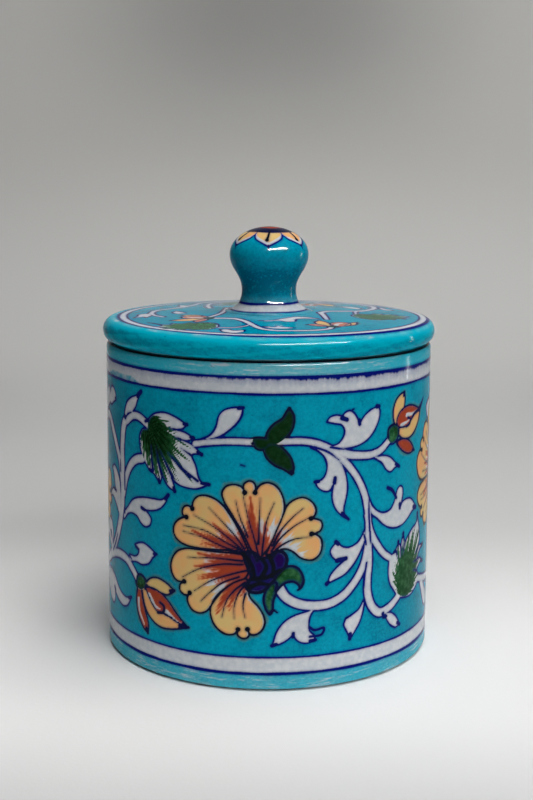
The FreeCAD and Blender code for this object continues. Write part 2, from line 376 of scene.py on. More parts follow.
def bud_low(p):
    """The bud at the lower left, which hangs to the right."""
    for outline, colour in (
            ([(-42.7, 25.2), (-43.6, 22), (-43.3, 18.2), (-41.9, 15.2), (-39.9, 12.9), (-38.3, 12.1, 1),
              (-38.2, 15), (-39.4, 18), (-40.7, 21.5), (-41.6, 24.6)], "rust"),
            ([(-39.3, 26.7), (-37.3, 28.7), (-34.3, 29.5), (-30.9, 28.7), (-28.0, 26.9, 1), (-30.4, 25.3),
              (-33.4, 25.5), (-37, 25.9)], "ochre"),
            ([(-40.9, 25.2), (-40.3, 22), (-38.8, 18.6), (-35.9, 16.1), (-32.8, 15.1), (-29.3, 15.3),
              (-26.3, 16), (-23.3, 16.8, 1), (-27, 18.6), (-31.6, 19.2), (-35.4, 20.9), (-38.5, 24.6)],
             "ochre"),
            ([(-39.4, 25.6), (-36.8, 26.1), (-33.4, 25.5), (-30.2, 23.4), (-27.4, 20.4), (-23.5, 16.9, 1),
              (-27.4, 17.9), (-31.4, 19.4), (-33.8, 19.2), (-36.6, 21.4)], "rust")):
        bud_petal(p, outline, colour, 0.7)
    for points, half in (([(-37.8, 23.6), (-35.3, 21.0), (-33.4, 20.4)], 0.9),
                         ([(-30.8, 20.2), (-28.0, 18.4), (-25.6, 17.4)], 0.75),
                         ([(-42.6, 21.5), (-42.3, 18.2), (-40.0, 14.2)], 0.5)):
        scrape(p, points, half, 0.3, ("rust", "ochre"))
    p.line([(-33.3, 22.4), (-31.8, 21.6), (-32.0, 19.8), (-34.2, 19.2)], 0.4, 0.45, soot_and_shade=0.8)
    p.line([(-26, 16.9), (-23.2, 16.9)], 0.75, 0.45, soot_and_shade=0.7)
    p.line([(-29.4, 26.6), (-28, 27)], 0.6, 0.5, soot_and_shade=0.7)
    p.line([(-38.9, 13.2), (-38.4, 12.0)], 0.6, 0.5, soot_and_shade=0.3)
    cup(p, [(-44.1, 26.0), (-43.0, 28.4), (-41, 28.9), (-39.1, 27.6), (-39.5, 25.6), (-41, 24.4),
            (-43, 24.5)])
    p.line([(-43.9, 25.6), (-43, 28.4), (-41, 28.9), (-39.2, 27.7)], 0.28, soot_and_shade=0.8)


def brushed_green(p, outline, apex, reach, lean, width, seed, dark=0.0, pale=0.0):
    """Long green strokes that fan from an apex towards lean, with white between their tips."""
    k, xy, depth = p.region(outline)
    if not len(k):
        return
    x, y = xy[:, 0] - apex[0], xy[:, 1] - apex[1]
    radius, angle = np.hypot(x, y), np.arctan2(y, x)
    off = (angle - math.radians(lean) + math.pi) % (2 * math.pi) - math.pi
    spread = reach * np.exp(-(off / math.radians(width)) ** 2)
    tip = spread * (0.86 + 0.30 * ripple(angle * 7, seed))
    gaps = ramp(ripple(angle * 10, seed + 5), 0.05, 0.75) * ramp(radius, spread * 0.4, spread * 0.85)
    p.raise_layer("fern", k, ramp(radius, tip, tip * 0.85 - 0.4) * (1 - gaps) * ramp(depth, -0.1, 0.5))
    p.raise_layer("thin_and_sheen", k, pale * (0.6 + 0.5 * ripple(angle * 5, seed + 2)) * ramp(depth, 0.0, 0.4))
    streaks = 0.6 + 0.4 * ripple(angle * 8, seed + 9)
    strength = dark * streaks * ramp(radius, spread * 0.75, spread * 0.4)
    p.raise_layer("soot_and_shade", k, strength * ramp(depth, 0.2, 1.0))


def feathered_left(p):
    outline = [(-38.3, 72.6), (-37.9, 74.8), (-35.5, 77), (-31.5, 78), (-27.5, 77.2), (-23.7, 75.4, 1),
               (-25, 74.1), (-27.4, 73.6, 1), (-24.4, 73.2), (-21.5, 71.8, 1), (-23.4, 70.9),
               (-25.6, 71.0, 1), (-22.2, 70.0), (-19.0, 67.5, 1), (-21.6, 67.3), (-22.2, 66.8, 1),
               (-20.8, 64), (-20, 61), (-19.1, 59.6), (-16.9, 59.1, 1), (-20.4, 57.6), (-24, 57.6),
               (-26.8, 58.3), (-29.0, 60.0, 1), (-28.0, 57.6), (-27.7, 56.0, 1), (-30, 57.1),
               (-32.4, 60.2, 1), (-32.6, 58.6), (-33.2, 57.7, 1), (-35.4, 60, 1), (-36.8, 60.4, 1),
               (-38.5, 62), (-40.4, 64.5), (-41.5, 67.5), (-41.4, 70.5), (-40, 72.3)]
    p.leaf(outline)
    brushed_green(p, outline, (-39.2, 76.0), 24.0, -54, 56, 2.0, dark=1.4)
    for points, half in (([(-28.4, 59.8), (-30.5, 63), (-33.0, 67)], 0.5),
                         ([(-32.4, 60.2), (-33.6, 63.5), (-34.4, 68)], 0.5),
                         ([(-35.8, 60.6), (-36.3, 64), (-36.4, 68)], 0.5),
                         ([(-22.2, 66.9), (-25.6, 68.6)], 0.4), ([(-27.4, 73.6), (-29.4, 73.9)], 0.4),
                         ([(-25.6, 71.0), (-27.4, 71.6)], 0.4),
                         ([(-20.2, 59.8), (-24.5, 62.6), (-28.5, 65.8)], 0.42),
                         ([(-22.6, 60.6), (-26.6, 63.6), (-30, 66.6)], 0.35)):
        p.line(points, half, 0.1, soot_and_shade=0.3)
    for points in ([(-24.6, 75.5), (-23.6, 75.4)], [(-22.4, 72.0), (-21.5, 71.8)],
                   [(-20.2, 68.0), (-19, 67.4)], [(-19, 59.3), (-16.8, 59.1)],
                   [(-28.1, 57.0), (-27.7, 56.0)], [(-33.5, 58.6), (-33.2, 57.8)],
                   [(-37.4, 60.9), (-36.6, 60.6)], [(-38.9, 74.6), (-37.8, 75)]):
        p.line(points, 0.5, 0.62, soot_and_shade=0.35)


def feathered_right(p):
    outline = [(39.2, 35.2), (38.7, 33), (38.6, 30), (39.4, 27), (41.4, 24.4), (43.4, 22.1), (45.5, 21.3),
               (50, 20.8), (54, 22), (57, 24.2, 1), (56.2, 25.8), (55.0, 27.2, 1), (57.8, 28.9),
               (60.5, 28.7, 1), (57.4, 30.4), (55.0, 30.4, 1), (57.4, 32.9), (60.5, 33.8, 1), (57.6, 34.4),
               (56.2, 34.2, 1), (57.1, 36.5), (56.9, 39), (56, 41.6), (54.9, 44.6, 1), (54.1, 42.1),
               (51.4, 41.1), (48.4, 39.3), (46.6, 37.6, 1), (46.2, 39), (45.7, 40.6, 1), (44.8, 38.4),
               (44.6, 36.8, 1), (44.0, 37.6), (43.2, 38.6, 1), (42.4, 37.2), (41.5, 36.0)]
    p.leaf(outline)
    brushed_green(p, outline, (45.6, 21.8), 23.5, 66, 62, 5.0, dark=0.4)
    for points in ([(46.6, 37.6), (45.8, 34.6)], [(44.6, 36.8), (44.4, 34.0)], [(42.2, 36.2), (42.9, 33.6)],
                   [(55.0, 30.4), (52.4, 30.4)], [(55.0, 27.2), (52.2, 28)], [(56.2, 34.2), (53.8, 32.6)]):
        p.line(points, 0.4, 0.1, soot_and_shade=0.3)
    for points in ([(54.7, 42.6), (54.9, 44.8)], [(45.6, 39.6), (45.7, 40.8)], [(43.1, 37.8), (43.2, 38.8)],
                   [(59.2, 33.4), (60.6, 33.9)], [(59.2, 28.9), (60.6, 28.7)], [(41.0, 36.0), (41.8, 36.3)]):
        p.line(points, 0.5, 0.6, soot_and_shade=0.3)


def twin_leaves(p):
    """The pair of solid green leaves that sits on the long stem."""
    for outline in (
            [(-4.4, 71.6), (-4.2, 72.7), (-2.4, 73.0), (-0.6, 72.6), (0.4, 71), (-1, 69.7), (-3, 69.7)],
            [(-0.6, 72.4), (-0.3, 74.5), (1.3, 76.6), (3.8, 78.3), (5.0, 80.2), (5.7, 81.2, 1),
             (7.0, 79), (7.0, 76.8), (6.2, 74.5), (4.3, 72.5), (2.2, 71.2), (0, 71)],
            [(-1.2, 70.2), (-0.6, 67.6), (1.7, 65.3), (4.3, 64.1), (6.5, 62.6, 1), (7.0, 64.5), (6.4, 67),
             (5.0, 69), (3.3, 70.6), (1.2, 71.4)]):
        k, _, depth = p.leaf(outline)
        p.raise_layer("fern", k, ramp(depth, -0.2, 0.3))
        p.raise_layer("soot_and_shade", k, 0.85 * ramp(depth, -1.0, -0.4))
    for x, y, size in ((5.7, 80.9, 0.65), (6.5, 63.2, 0.8), (-4.3, 71.3, 0.5)):
        p.dot(x, y, size, soot_and_shade=0.8)


# White leaves: an outline each. Then the ink blots at their tips and in their notches, and the
# white stems with half their width at the start, the end and the middle.
LEAVES_RIGHT = [
    [(17.8, 70), (19.8, 70.5), (21.3, 72), (21.9, 74), (21.0, 75.7), (18.8, 76.3), (16.4, 76.9, 1),
     (17.3, 78.1), (19.3, 78.6), (21.3, 78), (22.4, 77.0, 1), (21.4, 78.4), (22.3, 79.3), (23.8, 79.5),
     (25.5, 78), (26.8, 75.4, 1), (27.8, 77.1), (30.3, 79), (33.4, 79.9, 1), (34.0, 78.5), (33.8, 76.5),
     (32.3, 73.5), (29.8, 71), (26.3, 69.5), (22.8, 69.1), (19.3, 69.4)],
    [(11.8, 70), (13.8, 69), (15.5, 67.5), (16.5, 65.5), (16.6, 63.5), (15.8, 61.5), (14.6, 60.6),
     (13.2, 60.4, 1), (13.9, 58.8), (15.8, 57.5), (17.4, 57.5), (18.5, 59), (19.2, 61, 1), (18.4, 57.8),
     (18.3, 55), (19.3, 52.2), (21.2, 50.2), (23.4, 48.8, 1), (22.0, 50.6), (21.9, 52), (22.5, 54.5),
     (23.0, 57.5), (22.7, 60.5), (21.8, 63.5), (20.3, 65.9), (17, 68.8)],
    [(31, 66.0), (33.2, 65.6), (36.2, 65.4), (38.7, 64.5), (40.7, 62.9), (42.9, 61.3, 1), (41.1, 61.3),
     (38.7, 60.3), (36.7, 61.5), (35.2, 63.4), (33.2, 64.6)],
    [(30.2, 54.5), (31.8, 51.5), (33.8, 49.7), (36.5, 48.8), (39.1, 49.3), (40.7, 51.1), (41.6, 53),
     (42.2, 54.5), (43.4, 55.3), (44.7, 54.8), (45.1, 53), (44.5, 50.8), (43.7, 48.7, 1), (44.9, 50.3),
     (47.2, 50.8), (49.7, 50.4), (51.7, 48.9), (53.6, 46.8, 1), (50.9, 46.4), (48.2, 44.9), (45.7, 43.8),
     (42.7, 43.3), (39.2, 43.8), (36.2, 45.3), (33.5, 47.6), (31.2, 49.5)],
    [(29.3, 45.5), (28.2, 43.5), (26.4, 41.5), (23.6, 40.6), (21.4, 41.2), (20.0, 42.6, 1), (18.5, 41.3),
     (17.9, 40), (18.5, 38.5), (20.0, 37.3), (22.9, 37.3, 1), (20.6, 35.8), (18.1, 33.3), (17.1, 30.9, 1),
     (19.5, 31.7), (22.5, 32.9), (25.5, 35.6), (27.6, 38.7), (29.2, 42)],
    [(11.8, 23.4), (8.3, 22.5), (5.3, 21), (2.8, 18), (1.4, 13.7, 1), (3.3, 14), (5.4, 15.1), (7.3, 16.8, 1),
     (7.9, 15.5), (9.4, 14.3), (11.4, 14), (12.9, 14.4, 1), (13.5, 15.6), (11.9, 17.6), (11.7, 19.6),
     (12.2, 22), (13.4, 24)],
    [(29.2, 24.5), (27.4, 22.0), (25.0, 20.6), (23.0, 19.8, 1), (22.4, 18), (23.4, 16), (24.5, 13.6, 1),
     (26, 15.5), (27.7, 18), (28.8, 21)],
    [(37.5, 18.6, 1), (40, 18.2), (42.4, 16.5), (44.5, 13.5, 1), (42.4, 13.1), (39.9, 14.5), (38, 17)],
    [(-19.5, 71.5), (-16.5, 73), (-14.7, 75.5), (-13.9, 78.5), (-12.4, 80.2), (-10, 81), (-7.1, 81.2, 1),
     (-7.4, 79), (-9, 76.5), (-11.1, 74.6), (-13, 73.2), (-16, 72)],
]
BLOTS_RIGHT = [
    ([(21.0, 77.7), (22.6, 77.1)], 0.7), ([(26.6, 76.6), (26.8, 75.5)], 0.65),
    ([(32.8, 79.9), (33.7, 79.8)], 0.7), ([(13.2, 60.3), (14.2, 60.4)], 0.6),
    ([(18.9, 59.6), (19.1, 61.0)], 0.62), ([(21.4, 50.8), (23.5, 48.7)], 0.5),
    ([(41.3, 62.2), (42.9, 61.2)], 0.6), ([(43.5, 50), (43.6, 48.8)], 0.62),
    ([(51.8, 47.4), (53.4, 47)], 0.75), ([(37.7, 55.8), (39.6, 54.9), (40.9, 53.4), (41.7, 52.2)], 0.6),
    ([(19.6, 42.6), (20.3, 42.0)], 0.7), ([(20.0, 37.2), (22.8, 37.5)], 0.75),
    ([(16.9, 30.8), (17.3, 31.2)], 0.7), ([(1.3, 13.6), (2.5, 14.0)], 0.62),
    ([(7.2, 16.0), (7.3, 17.1)], 0.55), ([(12.2, 14.5), (13.7, 14.7)], 0.6),
    ([(11.9, 18.6), (13.4, 17.6), (16.2, 18.0), (15.6, 16.2), (12.0, 15.8)], 0.42),
    ([(24.5, 14.9), (24.4, 13.6)], 0.7), ([(23.1, 19.9), (23.9, 20.2)], 0.42),
    ([(43.4, 14.2), (44.5, 13.4)], 0.62), ([(36.6, 18.6), (36.9, 17.6), (38.0, 17.5)], 0.65),
    ([(-8.3, 81.0), (-7.0, 81.1)], 0.6), ([(24.2, 79.8), (24.9, 79.9)], 0.3),
    ([(-7.6, 65.2), (-6.4, 65.0)], 0.28),
]
STEMS_RIGHT = [
    ([(3.4, 30.2), (4.8, 28.0), (7.5, 26.1), (12, 24.9), (17.4, 24.9), (22, 26.7), (25.9, 30.3), (28.4, 34),
      (29.9, 38.5), (30.4, 44), (30.0, 50), (28.5, 56), (25.6, 61.2), (21.8, 65.6), (18, 68.9), (14, 70.9),
      (10, 71.8), (4, 71.9), (-4, 71.7), (-10, 71.7), (-15, 71.3), (-21, 70.3)], 1.5, 1.0, 1.15),
    ([(19, 68.9), (23, 67.3), (27, 66.6), (31, 66.4), (34.5, 67.2), (38.2, 69.7)], 1.3, 1.1, 1.2),
    ([(29.8, 49), (31.5, 43.5), (33.9, 39.7), (36.5, 36.7), (39.6, 34.6)], 1.1, 1.1, 1.2),
    ([(30.5, 42), (30.8, 35), (30.3, 30), (30.5, 26), (32, 22), (35, 19.4), (39, 19.9), (42, 21.3),
      (44.5, 23)],
     1.2, 1.3, 1.45),
    ([(56.5, 24.3), (62, 22.8), (68, 22), (75.1, 22), (79, 22)], 1.2, 1.5, 1.3),
]
# Cobalt lines inside the white where two branches run side by side
LINES_RIGHT = [
    [(30.9, 44.3), (30.5, 49.5), (30.4, 54)],
    [(12.6, 70.2), (17, 68.4), (20.4, 65.8)], [(29.9, 35.2), (29.3, 31.5), (29.0, 26.6)],
    [(29.6, 40.6), (29.1, 42.8), (28.2, 44.6)], [(17.6, 69.8), (19.6, 69.3), (22.4, 68.8)],
    [(31.0, 44.0), (31.2, 41.6), (31.5, 40.2)],
]

LEAVES_LEFT = [
    [(-49.6, 74.8), (-49, 77.5), (-47.9, 79.1), (-45.5, 80.6), (-43.2, 81.4), (-40.9, 82.8, 1), (-42.5, 80.1),
     (-43.5, 78), (-45, 76.5), (-46.7, 74.8)],
    [(-50.8, 45.2), (-48, 48), (-45.4, 50.5), (-42.9, 51.6), (-39.5, 52.3), (-35.5, 52.6), (-32.5, 52.8),
     (-30.1, 54.4, 1), (-30.9, 52.5), (-32.9, 50.3), (-35.9, 49.1), (-38.6, 48.8), (-40.7, 49, 1),
     (-38.3, 48.1), (-36.7, 46.5), (-37.2, 44.6), (-39.4, 43.7), (-41.5, 44.6), (-43, 46), (-45.4, 46.5),
     (-48, 45.8), (-50.6, 43.6)],
    [(-47.6, 33.4), (-44.3, 33.8), (-42.7, 34.8), (-42.3, 36.2), (-43.6, 36.8), (-44.4, 37.3, 1),
     (-42.8, 38.1), (-40.3, 38.7), (-37.8, 38.1), (-34.7, 36.5, 1), (-36.2, 35), (-37.8, 33.1),
     (-40.8, 32.1), (-43.8, 32.3), (-47, 31.8)],
    [(-46.6, 20.6, 1), (-50, 19.9), (-53.3, 20.6), (-55.8, 22), (-58.3, 24), (-61.8, 25), (-66.8, 24.8),
     (-72, 23), (-76, 21), (-79, 17.5), (-76.5, 16.5, 1), (-72.5, 18), (-69, 19.2), (-66, 18), (-63.8, 16),
     (-60.3, 15), (-58.4, 17), (-58.9, 20, 1), (-57.8, 19), (-55.3, 17.5), (-51.8, 16.7), (-48.9, 17.6)],
    [(-62.2, 41.4, 1), (-64.5, 40.8), (-70, 39), (-75, 36.5), (-79, 32.5, 1), (-75, 31.6), (-70, 33),
     (-66, 35.3), (-62.8, 37.0), (-61.2, 33), (-60, 36), (-60.8, 39.5)],
    [(-56.0, 78.2, 1), (-56.3, 80), (-58.3, 81.6), (-60.6, 81.5), (-62.2, 79.6, 1), (-63.3, 81.2),
     (-65.6, 80.6), (-68.6, 77.6), (-72.6, 74), (-68.6, 73.4), (-64.6, 75.0), (-62.4, 76.4, 1),
     (-60.4, 76.2), (-58.4, 77.2)],
    [(-52.6, 48.5), (-53.4, 54), (-55.4, 57), (-58, 58.4), (-60.2, 57.3, 1), (-58.7, 55.5), (-57.9, 53),
     (-57.0, 51, 1), (-59, 51.1), (-61.5, 49.8), (-63.4, 47.6, 1), (-60, 48.5), (-57, 47), (-55, 45),
     (-53.2, 42.5)],
    [(-98.9, 22.6), (-97, 19), (-95.4, 16.2), (-93.5, 14), (-90.4, 13, 1), (-90, 15.5), (-91.5, 18),
     (-93.9, 20.5), (-96.6, 22.8)],
    [(-95.2, 76, 1), (-92, 77.4), (-88, 77), (-85, 74.6), (-82, 72.5), (-86, 71.2), (-90.4, 71.2),
     (-93.6, 72.6)],
    [(-84, 79.5, 1), (-80, 81.6), (-76, 80.2), (-74.6, 77), (-78, 76.6), (-80.4, 78.2, 1), (-82, 77)],
]
BLOTS_LEFT = [
    ([(-42.4, 81.4), (-40.8, 82.8)], 0.8), ([(-40.9, 49.0), (-39.4, 48.6)], 0.6),
    ([(-31, 53.4), (-30, 54.6)], 0.7), ([(-43.9, 36.9), (-42.5, 36.2)], 0.55),
    ([(-35.6, 36.4), (-34.6, 36.5)], 0.55), ([(-49.5, 74.3), (-49.3, 74.1)], 0.75),
    ([(-48, 20.1), (-46.6, 20.7)], 0.6), ([(-58.9, 20.3), (-58.2, 19.6)], 0.6),
    ([(-62.8, 41.0), (-62.0, 41.4)], 0.6), ([(-56.7, 78.6), (-56, 78.2)], 0.5),
    ([(-59.8, 57.4), (-60.6, 57.2)], 0.5), ([(-59, 51.2), (-56.6, 50.8)], 0.5),
    ([(-83.4, 79.6), (-84.2, 79.4)], 0.6), ([(-91, 13.4), (-90.2, 12.9)], 0.6),
]
STEMS_LEFT = [
    ([(-47.4, 74.8), (-50.0, 72.2), (-51.4, 66), (-51.4, 59), (-51.4, 53), (-51.9, 47.5), (-53.8, 41.5),
      (-57, 35.5), (-61.5, 30.6), (-68, 26.8), (-75, 23.6), (-82, 22)], 1.5, 1.5, 1.5),
    ([(-48.6, 73.2), (-45, 75.3), (-41.8, 75.4), (-38.0, 73.8)], 1.3, 1.2, 1.25),
    ([(-50.8, 51), (-49, 56.5), (-46.5, 60.4), (-43.5, 62.7), (-40.4, 63.6)], 1.2, 1.4, 1.35),
    ([(-62, 29.9), (-57, 31.6), (-52.8, 32.2), (-49, 31.7), (-46, 29.8), (-43.2, 27.3)], 1.3, 1.2, 1.45),
    ([(-73.3, 63.0), (-72.2, 67.5), (-69, 71), (-65.5, 72.6), (-62, 71.8), (-58.8, 68.6), (-55.6, 64.4),
      (-53, 60), (-51.6, 53)], 1.5, 1.2, 1.4),
    ([(-72, 40), (-66, 36.5), (-61, 32)], 1.0, 1.2, 1.1),
]
LINES_LEFT = [
    [(-49.9, 52.5), (-50.0, 57), (-49.9, 60)], [(-60.3, 31.6), (-57.6, 34.6), (-55.6, 38)],
    [(-50.1, 45.4), (-50.2, 49.5)], [(-49.2, 74.0), (-47.6, 75.4), (-45.6, 76.2)],
    [(-52.8, 57.5), (-52.9, 61)], [(-47.4, 33.4), (-45.8, 32.0)],
]


def scroll(p):
    """One repeat of the wall's pattern: half the way round the jar."""
    for stems, leaves, lines, blots in ((STEMS_RIGHT, LEAVES_RIGHT, LINES_RIGHT, BLOTS_RIGHT),
                                        (STEMS_LEFT, LEAVES_LEFT, LINES_LEFT, BLOTS_LEFT)):
        for points, start, end, middle in stems:
            p.stem(points, start, end, middle)
        for outline in leaves:
            p.leaf(outline)
        for points in lines:
            p.line(points, 0.34, 0.18, middle=0.36)
        for points, half in blots:
            p.line(points, half, half * 0.9, soot_and_shade=0.25)
    feathered_left(p)
    feathered_right(p)
    twin_leaves(p)
    bud_high(p)
    bud_low(p)
    flower(p)
    flower(p.at(move=(79, 57.5), scale=0.93, flip=True, centre=FLOWER_HEART))
    twin_leaves(p.at(move=(79, 22.2), flip=True, centre=(0, 71.8)))


# ---------------------------------------------------------------------------------------------
# Meshes

def arc(centre, radius, start, end, count):
    """Profile points (r, z) of an arc, from angle start to end in degrees, without its first point."""
    angles = np.radians(np.linspace(start, end, count + 1)[1:])
    return [(centre[0] + radius * math.cos(a), centre[1] + radius * math.sin(a)) for a in angles]


def span(a, b, step):
    """Profile points from a to b at about step apart, without a."""
    count = max(1, int(round(math.dist(a, b) / step)))
    return [(a[0] + (b[0] - a[0]) * i / count, a[1] + (b[1] - a[1]) * i / count) for i in range(1, count + 1)]


def around(columns):
    """The angle of each column. Column 0 is at the back, and they run anticlockwise seen from above."""
    return np.linspace(0, 2 * math.pi, columns, endpoint=False) + math.pi / 2


def from_the_top(profile, columns):
    """Each row's distance along the surface from the top's middle, and every point laid out flat by it."""
    steps = [math.dist(a, b) for a, b in zip(profile[:-1], profile[1:])]
    reach = np.cumsum(steps[::-1])[::-1][1:]
    angle = around(columns)
    return reach, np.outer(reach, np.cos(angle)), np.outer(reach, np.sin(angle))


def new_piece(name, points, faces):
    mesh = bpy.data.meshes.new(name)
    mesh.from_pydata(points, [], faces)
    mesh.shade_smooth()
    piece = bpy.data.objects.new(name, mesh)
    bpy.context.scene.collection.objects.link(piece)
    return piece


def turned(name, profile, columns, closed):
    """A mesh turned about Z from (r, z) in mm. closed joins the profile's ends; otherwise they lie on
    the axis."""
    rings = np.array(profile, float)
    if not closed:
        rings = rings[1:-1]
    rows = len(rings)
    angle = around(columns)
    co = np.empty((rows, columns, 3))
    co[..., 0] = rings[:, :1] * np.cos(angle)
    co[..., 1] = rings[:, :1] * np.sin(angle)
    co[..., 2] = rings[:, 1:]
    points = co.reshape(-1, 3)
    index = np.arange(rows * columns).reshape(rows, columns)
    if closed:
        index = np.vstack([index, index[:1]])
    a, b = index[:-1], index[1:]
    quads = np.stack([a, np.roll(a, -1, 1), np.roll(b, -1, 1), b], -1).reshape(-1, 4)
    faces = quads.tolist()
    if not closed:
        low, high = len(points), len(points) + 1
        points = np.vstack([points, [0, 0, profile[0][1]], [0, 0, profile[-1][1]]])
        first, last = index[0], index[-1]
        faces += [[low, int(j), int(i)] for i, j in zip(first, np.roll(first, -1))]
        faces += [[high, int(i), int(j)] for i, j in zip(last, np.roll(last, -1))]
    piece = new_piece(name, (points * MM).tolist(), faces)
    piece.data.validate()
    return piece


def store(piece, layers):
    for name, values in layers.items():
        full = np.full(len(piece.data.vertices), LAYERS[name], np.float32)
        full[:len(values)] = values
        piece.data.attributes.new(name, "FLOAT", "POINT").data.foreach_set("value", full)


# ---------------------------------------------------------------------------------------------
# Materials

class Nodes:
    """Short calls to build a node tree."""

    def __init__(self, name):
        self.material = bpy.data.materials.new(name)
        self.material.use_nodes = True
        self.tree = self.material.node_tree
        self.shader = self.tree.nodes["Principled BSDF"]

    def put(self, socket, value):
        if hasattr(value, "links"):
            self.tree.links.new(value, socket)
        else:
            socket.default_value = value

    def layer(self, name):
        node = self.tree.nodes.new("ShaderNodeAttribute")
        node.attribute_name = name
        return node.outputs["Fac"]

    def place(self):
        return self.tree.nodes.new("ShaderNodeTexCoord").outputs["Object"]

    def math(self, kind, a, b=0.0):
        node = self.tree.nodes.new("ShaderNodeMath")
        node.operation = kind
        self.put(node.inputs[0], a)
        self.put(node.inputs[1], b)
        return node.outputs[0]

    def add(self, a, b):
        return self.math("ADD", a, b)

    def times(self, a, b):
        return self.math("MULTIPLY", a, b)

    def ramp(self, value, low, high, to_low=0.0, to_high=1.0):
        node = self.tree.nodes.new("ShaderNodeMapRange")
        node.interpolation_type = "SMOOTHSTEP"
        self.put(node.inputs["Value"], value)
        node.inputs["From Min"].default_value = low
        node.inputs["From Max"].default_value = high
        node.inputs["To Min"].default_value = to_low
        node.inputs["To Max"].default_value = to_high
        return node.outputs["Result"]

    def noise(self, scale, detail=2.0, rough=0.5, stretch=(1, 1, 1)):
        """Noise with scale swings to the metre."""
        where = self.place()
        if stretch != (1, 1, 1):
            mapping = self.tree.nodes.new("ShaderNodeMapping")
            mapping.inputs["Scale"].default_value = stretch
            self.put(mapping.inputs["Vector"], where)
            where = mapping.outputs["Vector"]
        node = self.tree.nodes.new("ShaderNodeTexNoise")
        self.put(node.inputs["Vector"], where)
        node.inputs["Scale"].default_value = scale
        node.inputs["Detail"].default_value = detail
        node.inputs["Roughness"].default_value = rough
        return node.outputs["Fac"]

    def swing(self, scale, size, detail=2.0, rough=0.5):
        """Noise about zero, from about -size/2 to size/2."""
        return self.times(self.math("SUBTRACT", self.noise(scale, detail, rough), 0.5), size)

    def mix(self, amount, a, b):
        node = self.tree.nodes.new("ShaderNodeMix")
        node.data_type = "RGBA"
        self.put(node.inputs["Factor"], amount)
        for socket, value in ((node.inputs[6], a), (node.inputs[7], b)):
            self.put(socket, value if hasattr(value, "links") else (*value, 1))
        return node.outputs[2]

    def bump(self, height, distance, strength=1.0):
        node = self.tree.nodes.new("ShaderNodeBump")
        node.inputs["Strength"].default_value = strength
        node.inputs["Distance"].default_value = distance
        self.put(node.inputs["Height"], height)
        self.put(self.shader.inputs["Normal"], node.outputs["Normal"])

    def finish(self, colour, rough, shine=0.5):
        self.put(self.shader.inputs["Base Color"], colour)
        self.put(self.shader.inputs["Roughness"], rough)
        self.shader.inputs["Specular IOR Level"].default_value = shine
        return self.material


TURQUOISE = (0.0, 0.315, 0.452)
TURQUOISE_DEEP = (0.0, 0.17, 0.265)
TURQUOISE_PALE = (0.0, 0.41, 0.545)
TURQUOISE_THIN_AND_SHEEN = (0.22, 0.51, 0.56)
WHITE = (0.61, 0.625, 0.64)
WHITE_THIN = (0.51, 0.55, 0.59)
OCHRE = (0.66, 0.465, 0.18)
ORANGE = (0.74, 0.385, 0.15)
RUST_PALE = (0.62, 0.18, 0.07)
RUST = (0.33, 0.048, 0.020)
GREEN_DARK = (0.006, 0.060, 0.018)
GREEN = (0.036, 0.150, 0.055)
GREEN_THIN = (0.060, 0.230, 0.120)
GREEN_SOOTY = (0.0, 0.014, 0.001)
VIOLET = (0.012, 0.001, 0.065)
COBALT = (0.002, 0.007, 0.15)
BLACK = (0.004, 0.006, 0.012)
COBALT_BLEED = (0.0, 0.03, 0.26)
BLACK_BLEED = (0.01, 0.02, 0.04)
PIN_SPOT = (0.0, 0.09, 0.20)
HALO = (0.12, 0.17, 0.05)
INNER_WHITE = (0.60, 0.62, 0.60)
INNER_POOL = (0.40, 0.57, 0.58)
CRACKLE = (0.30, 0.36, 0.36)
BISCUIT = (0.42, 0.38, 0.32)
BISCUIT_PALE = (0.58, 0.54, 0.47)
BISCUIT_STAIN = (0.20, 0.33, 0.35)


def inner_colour(n):
    """The plain glaze inside: white, with a breath of turquoise where it pools."""
    pooled = n.times(n.ramp(n.noise(45, detail=3), 0.45, 0.7), 0.5)
    return n.mix(pooled, INNER_WHITE, INNER_POOL)


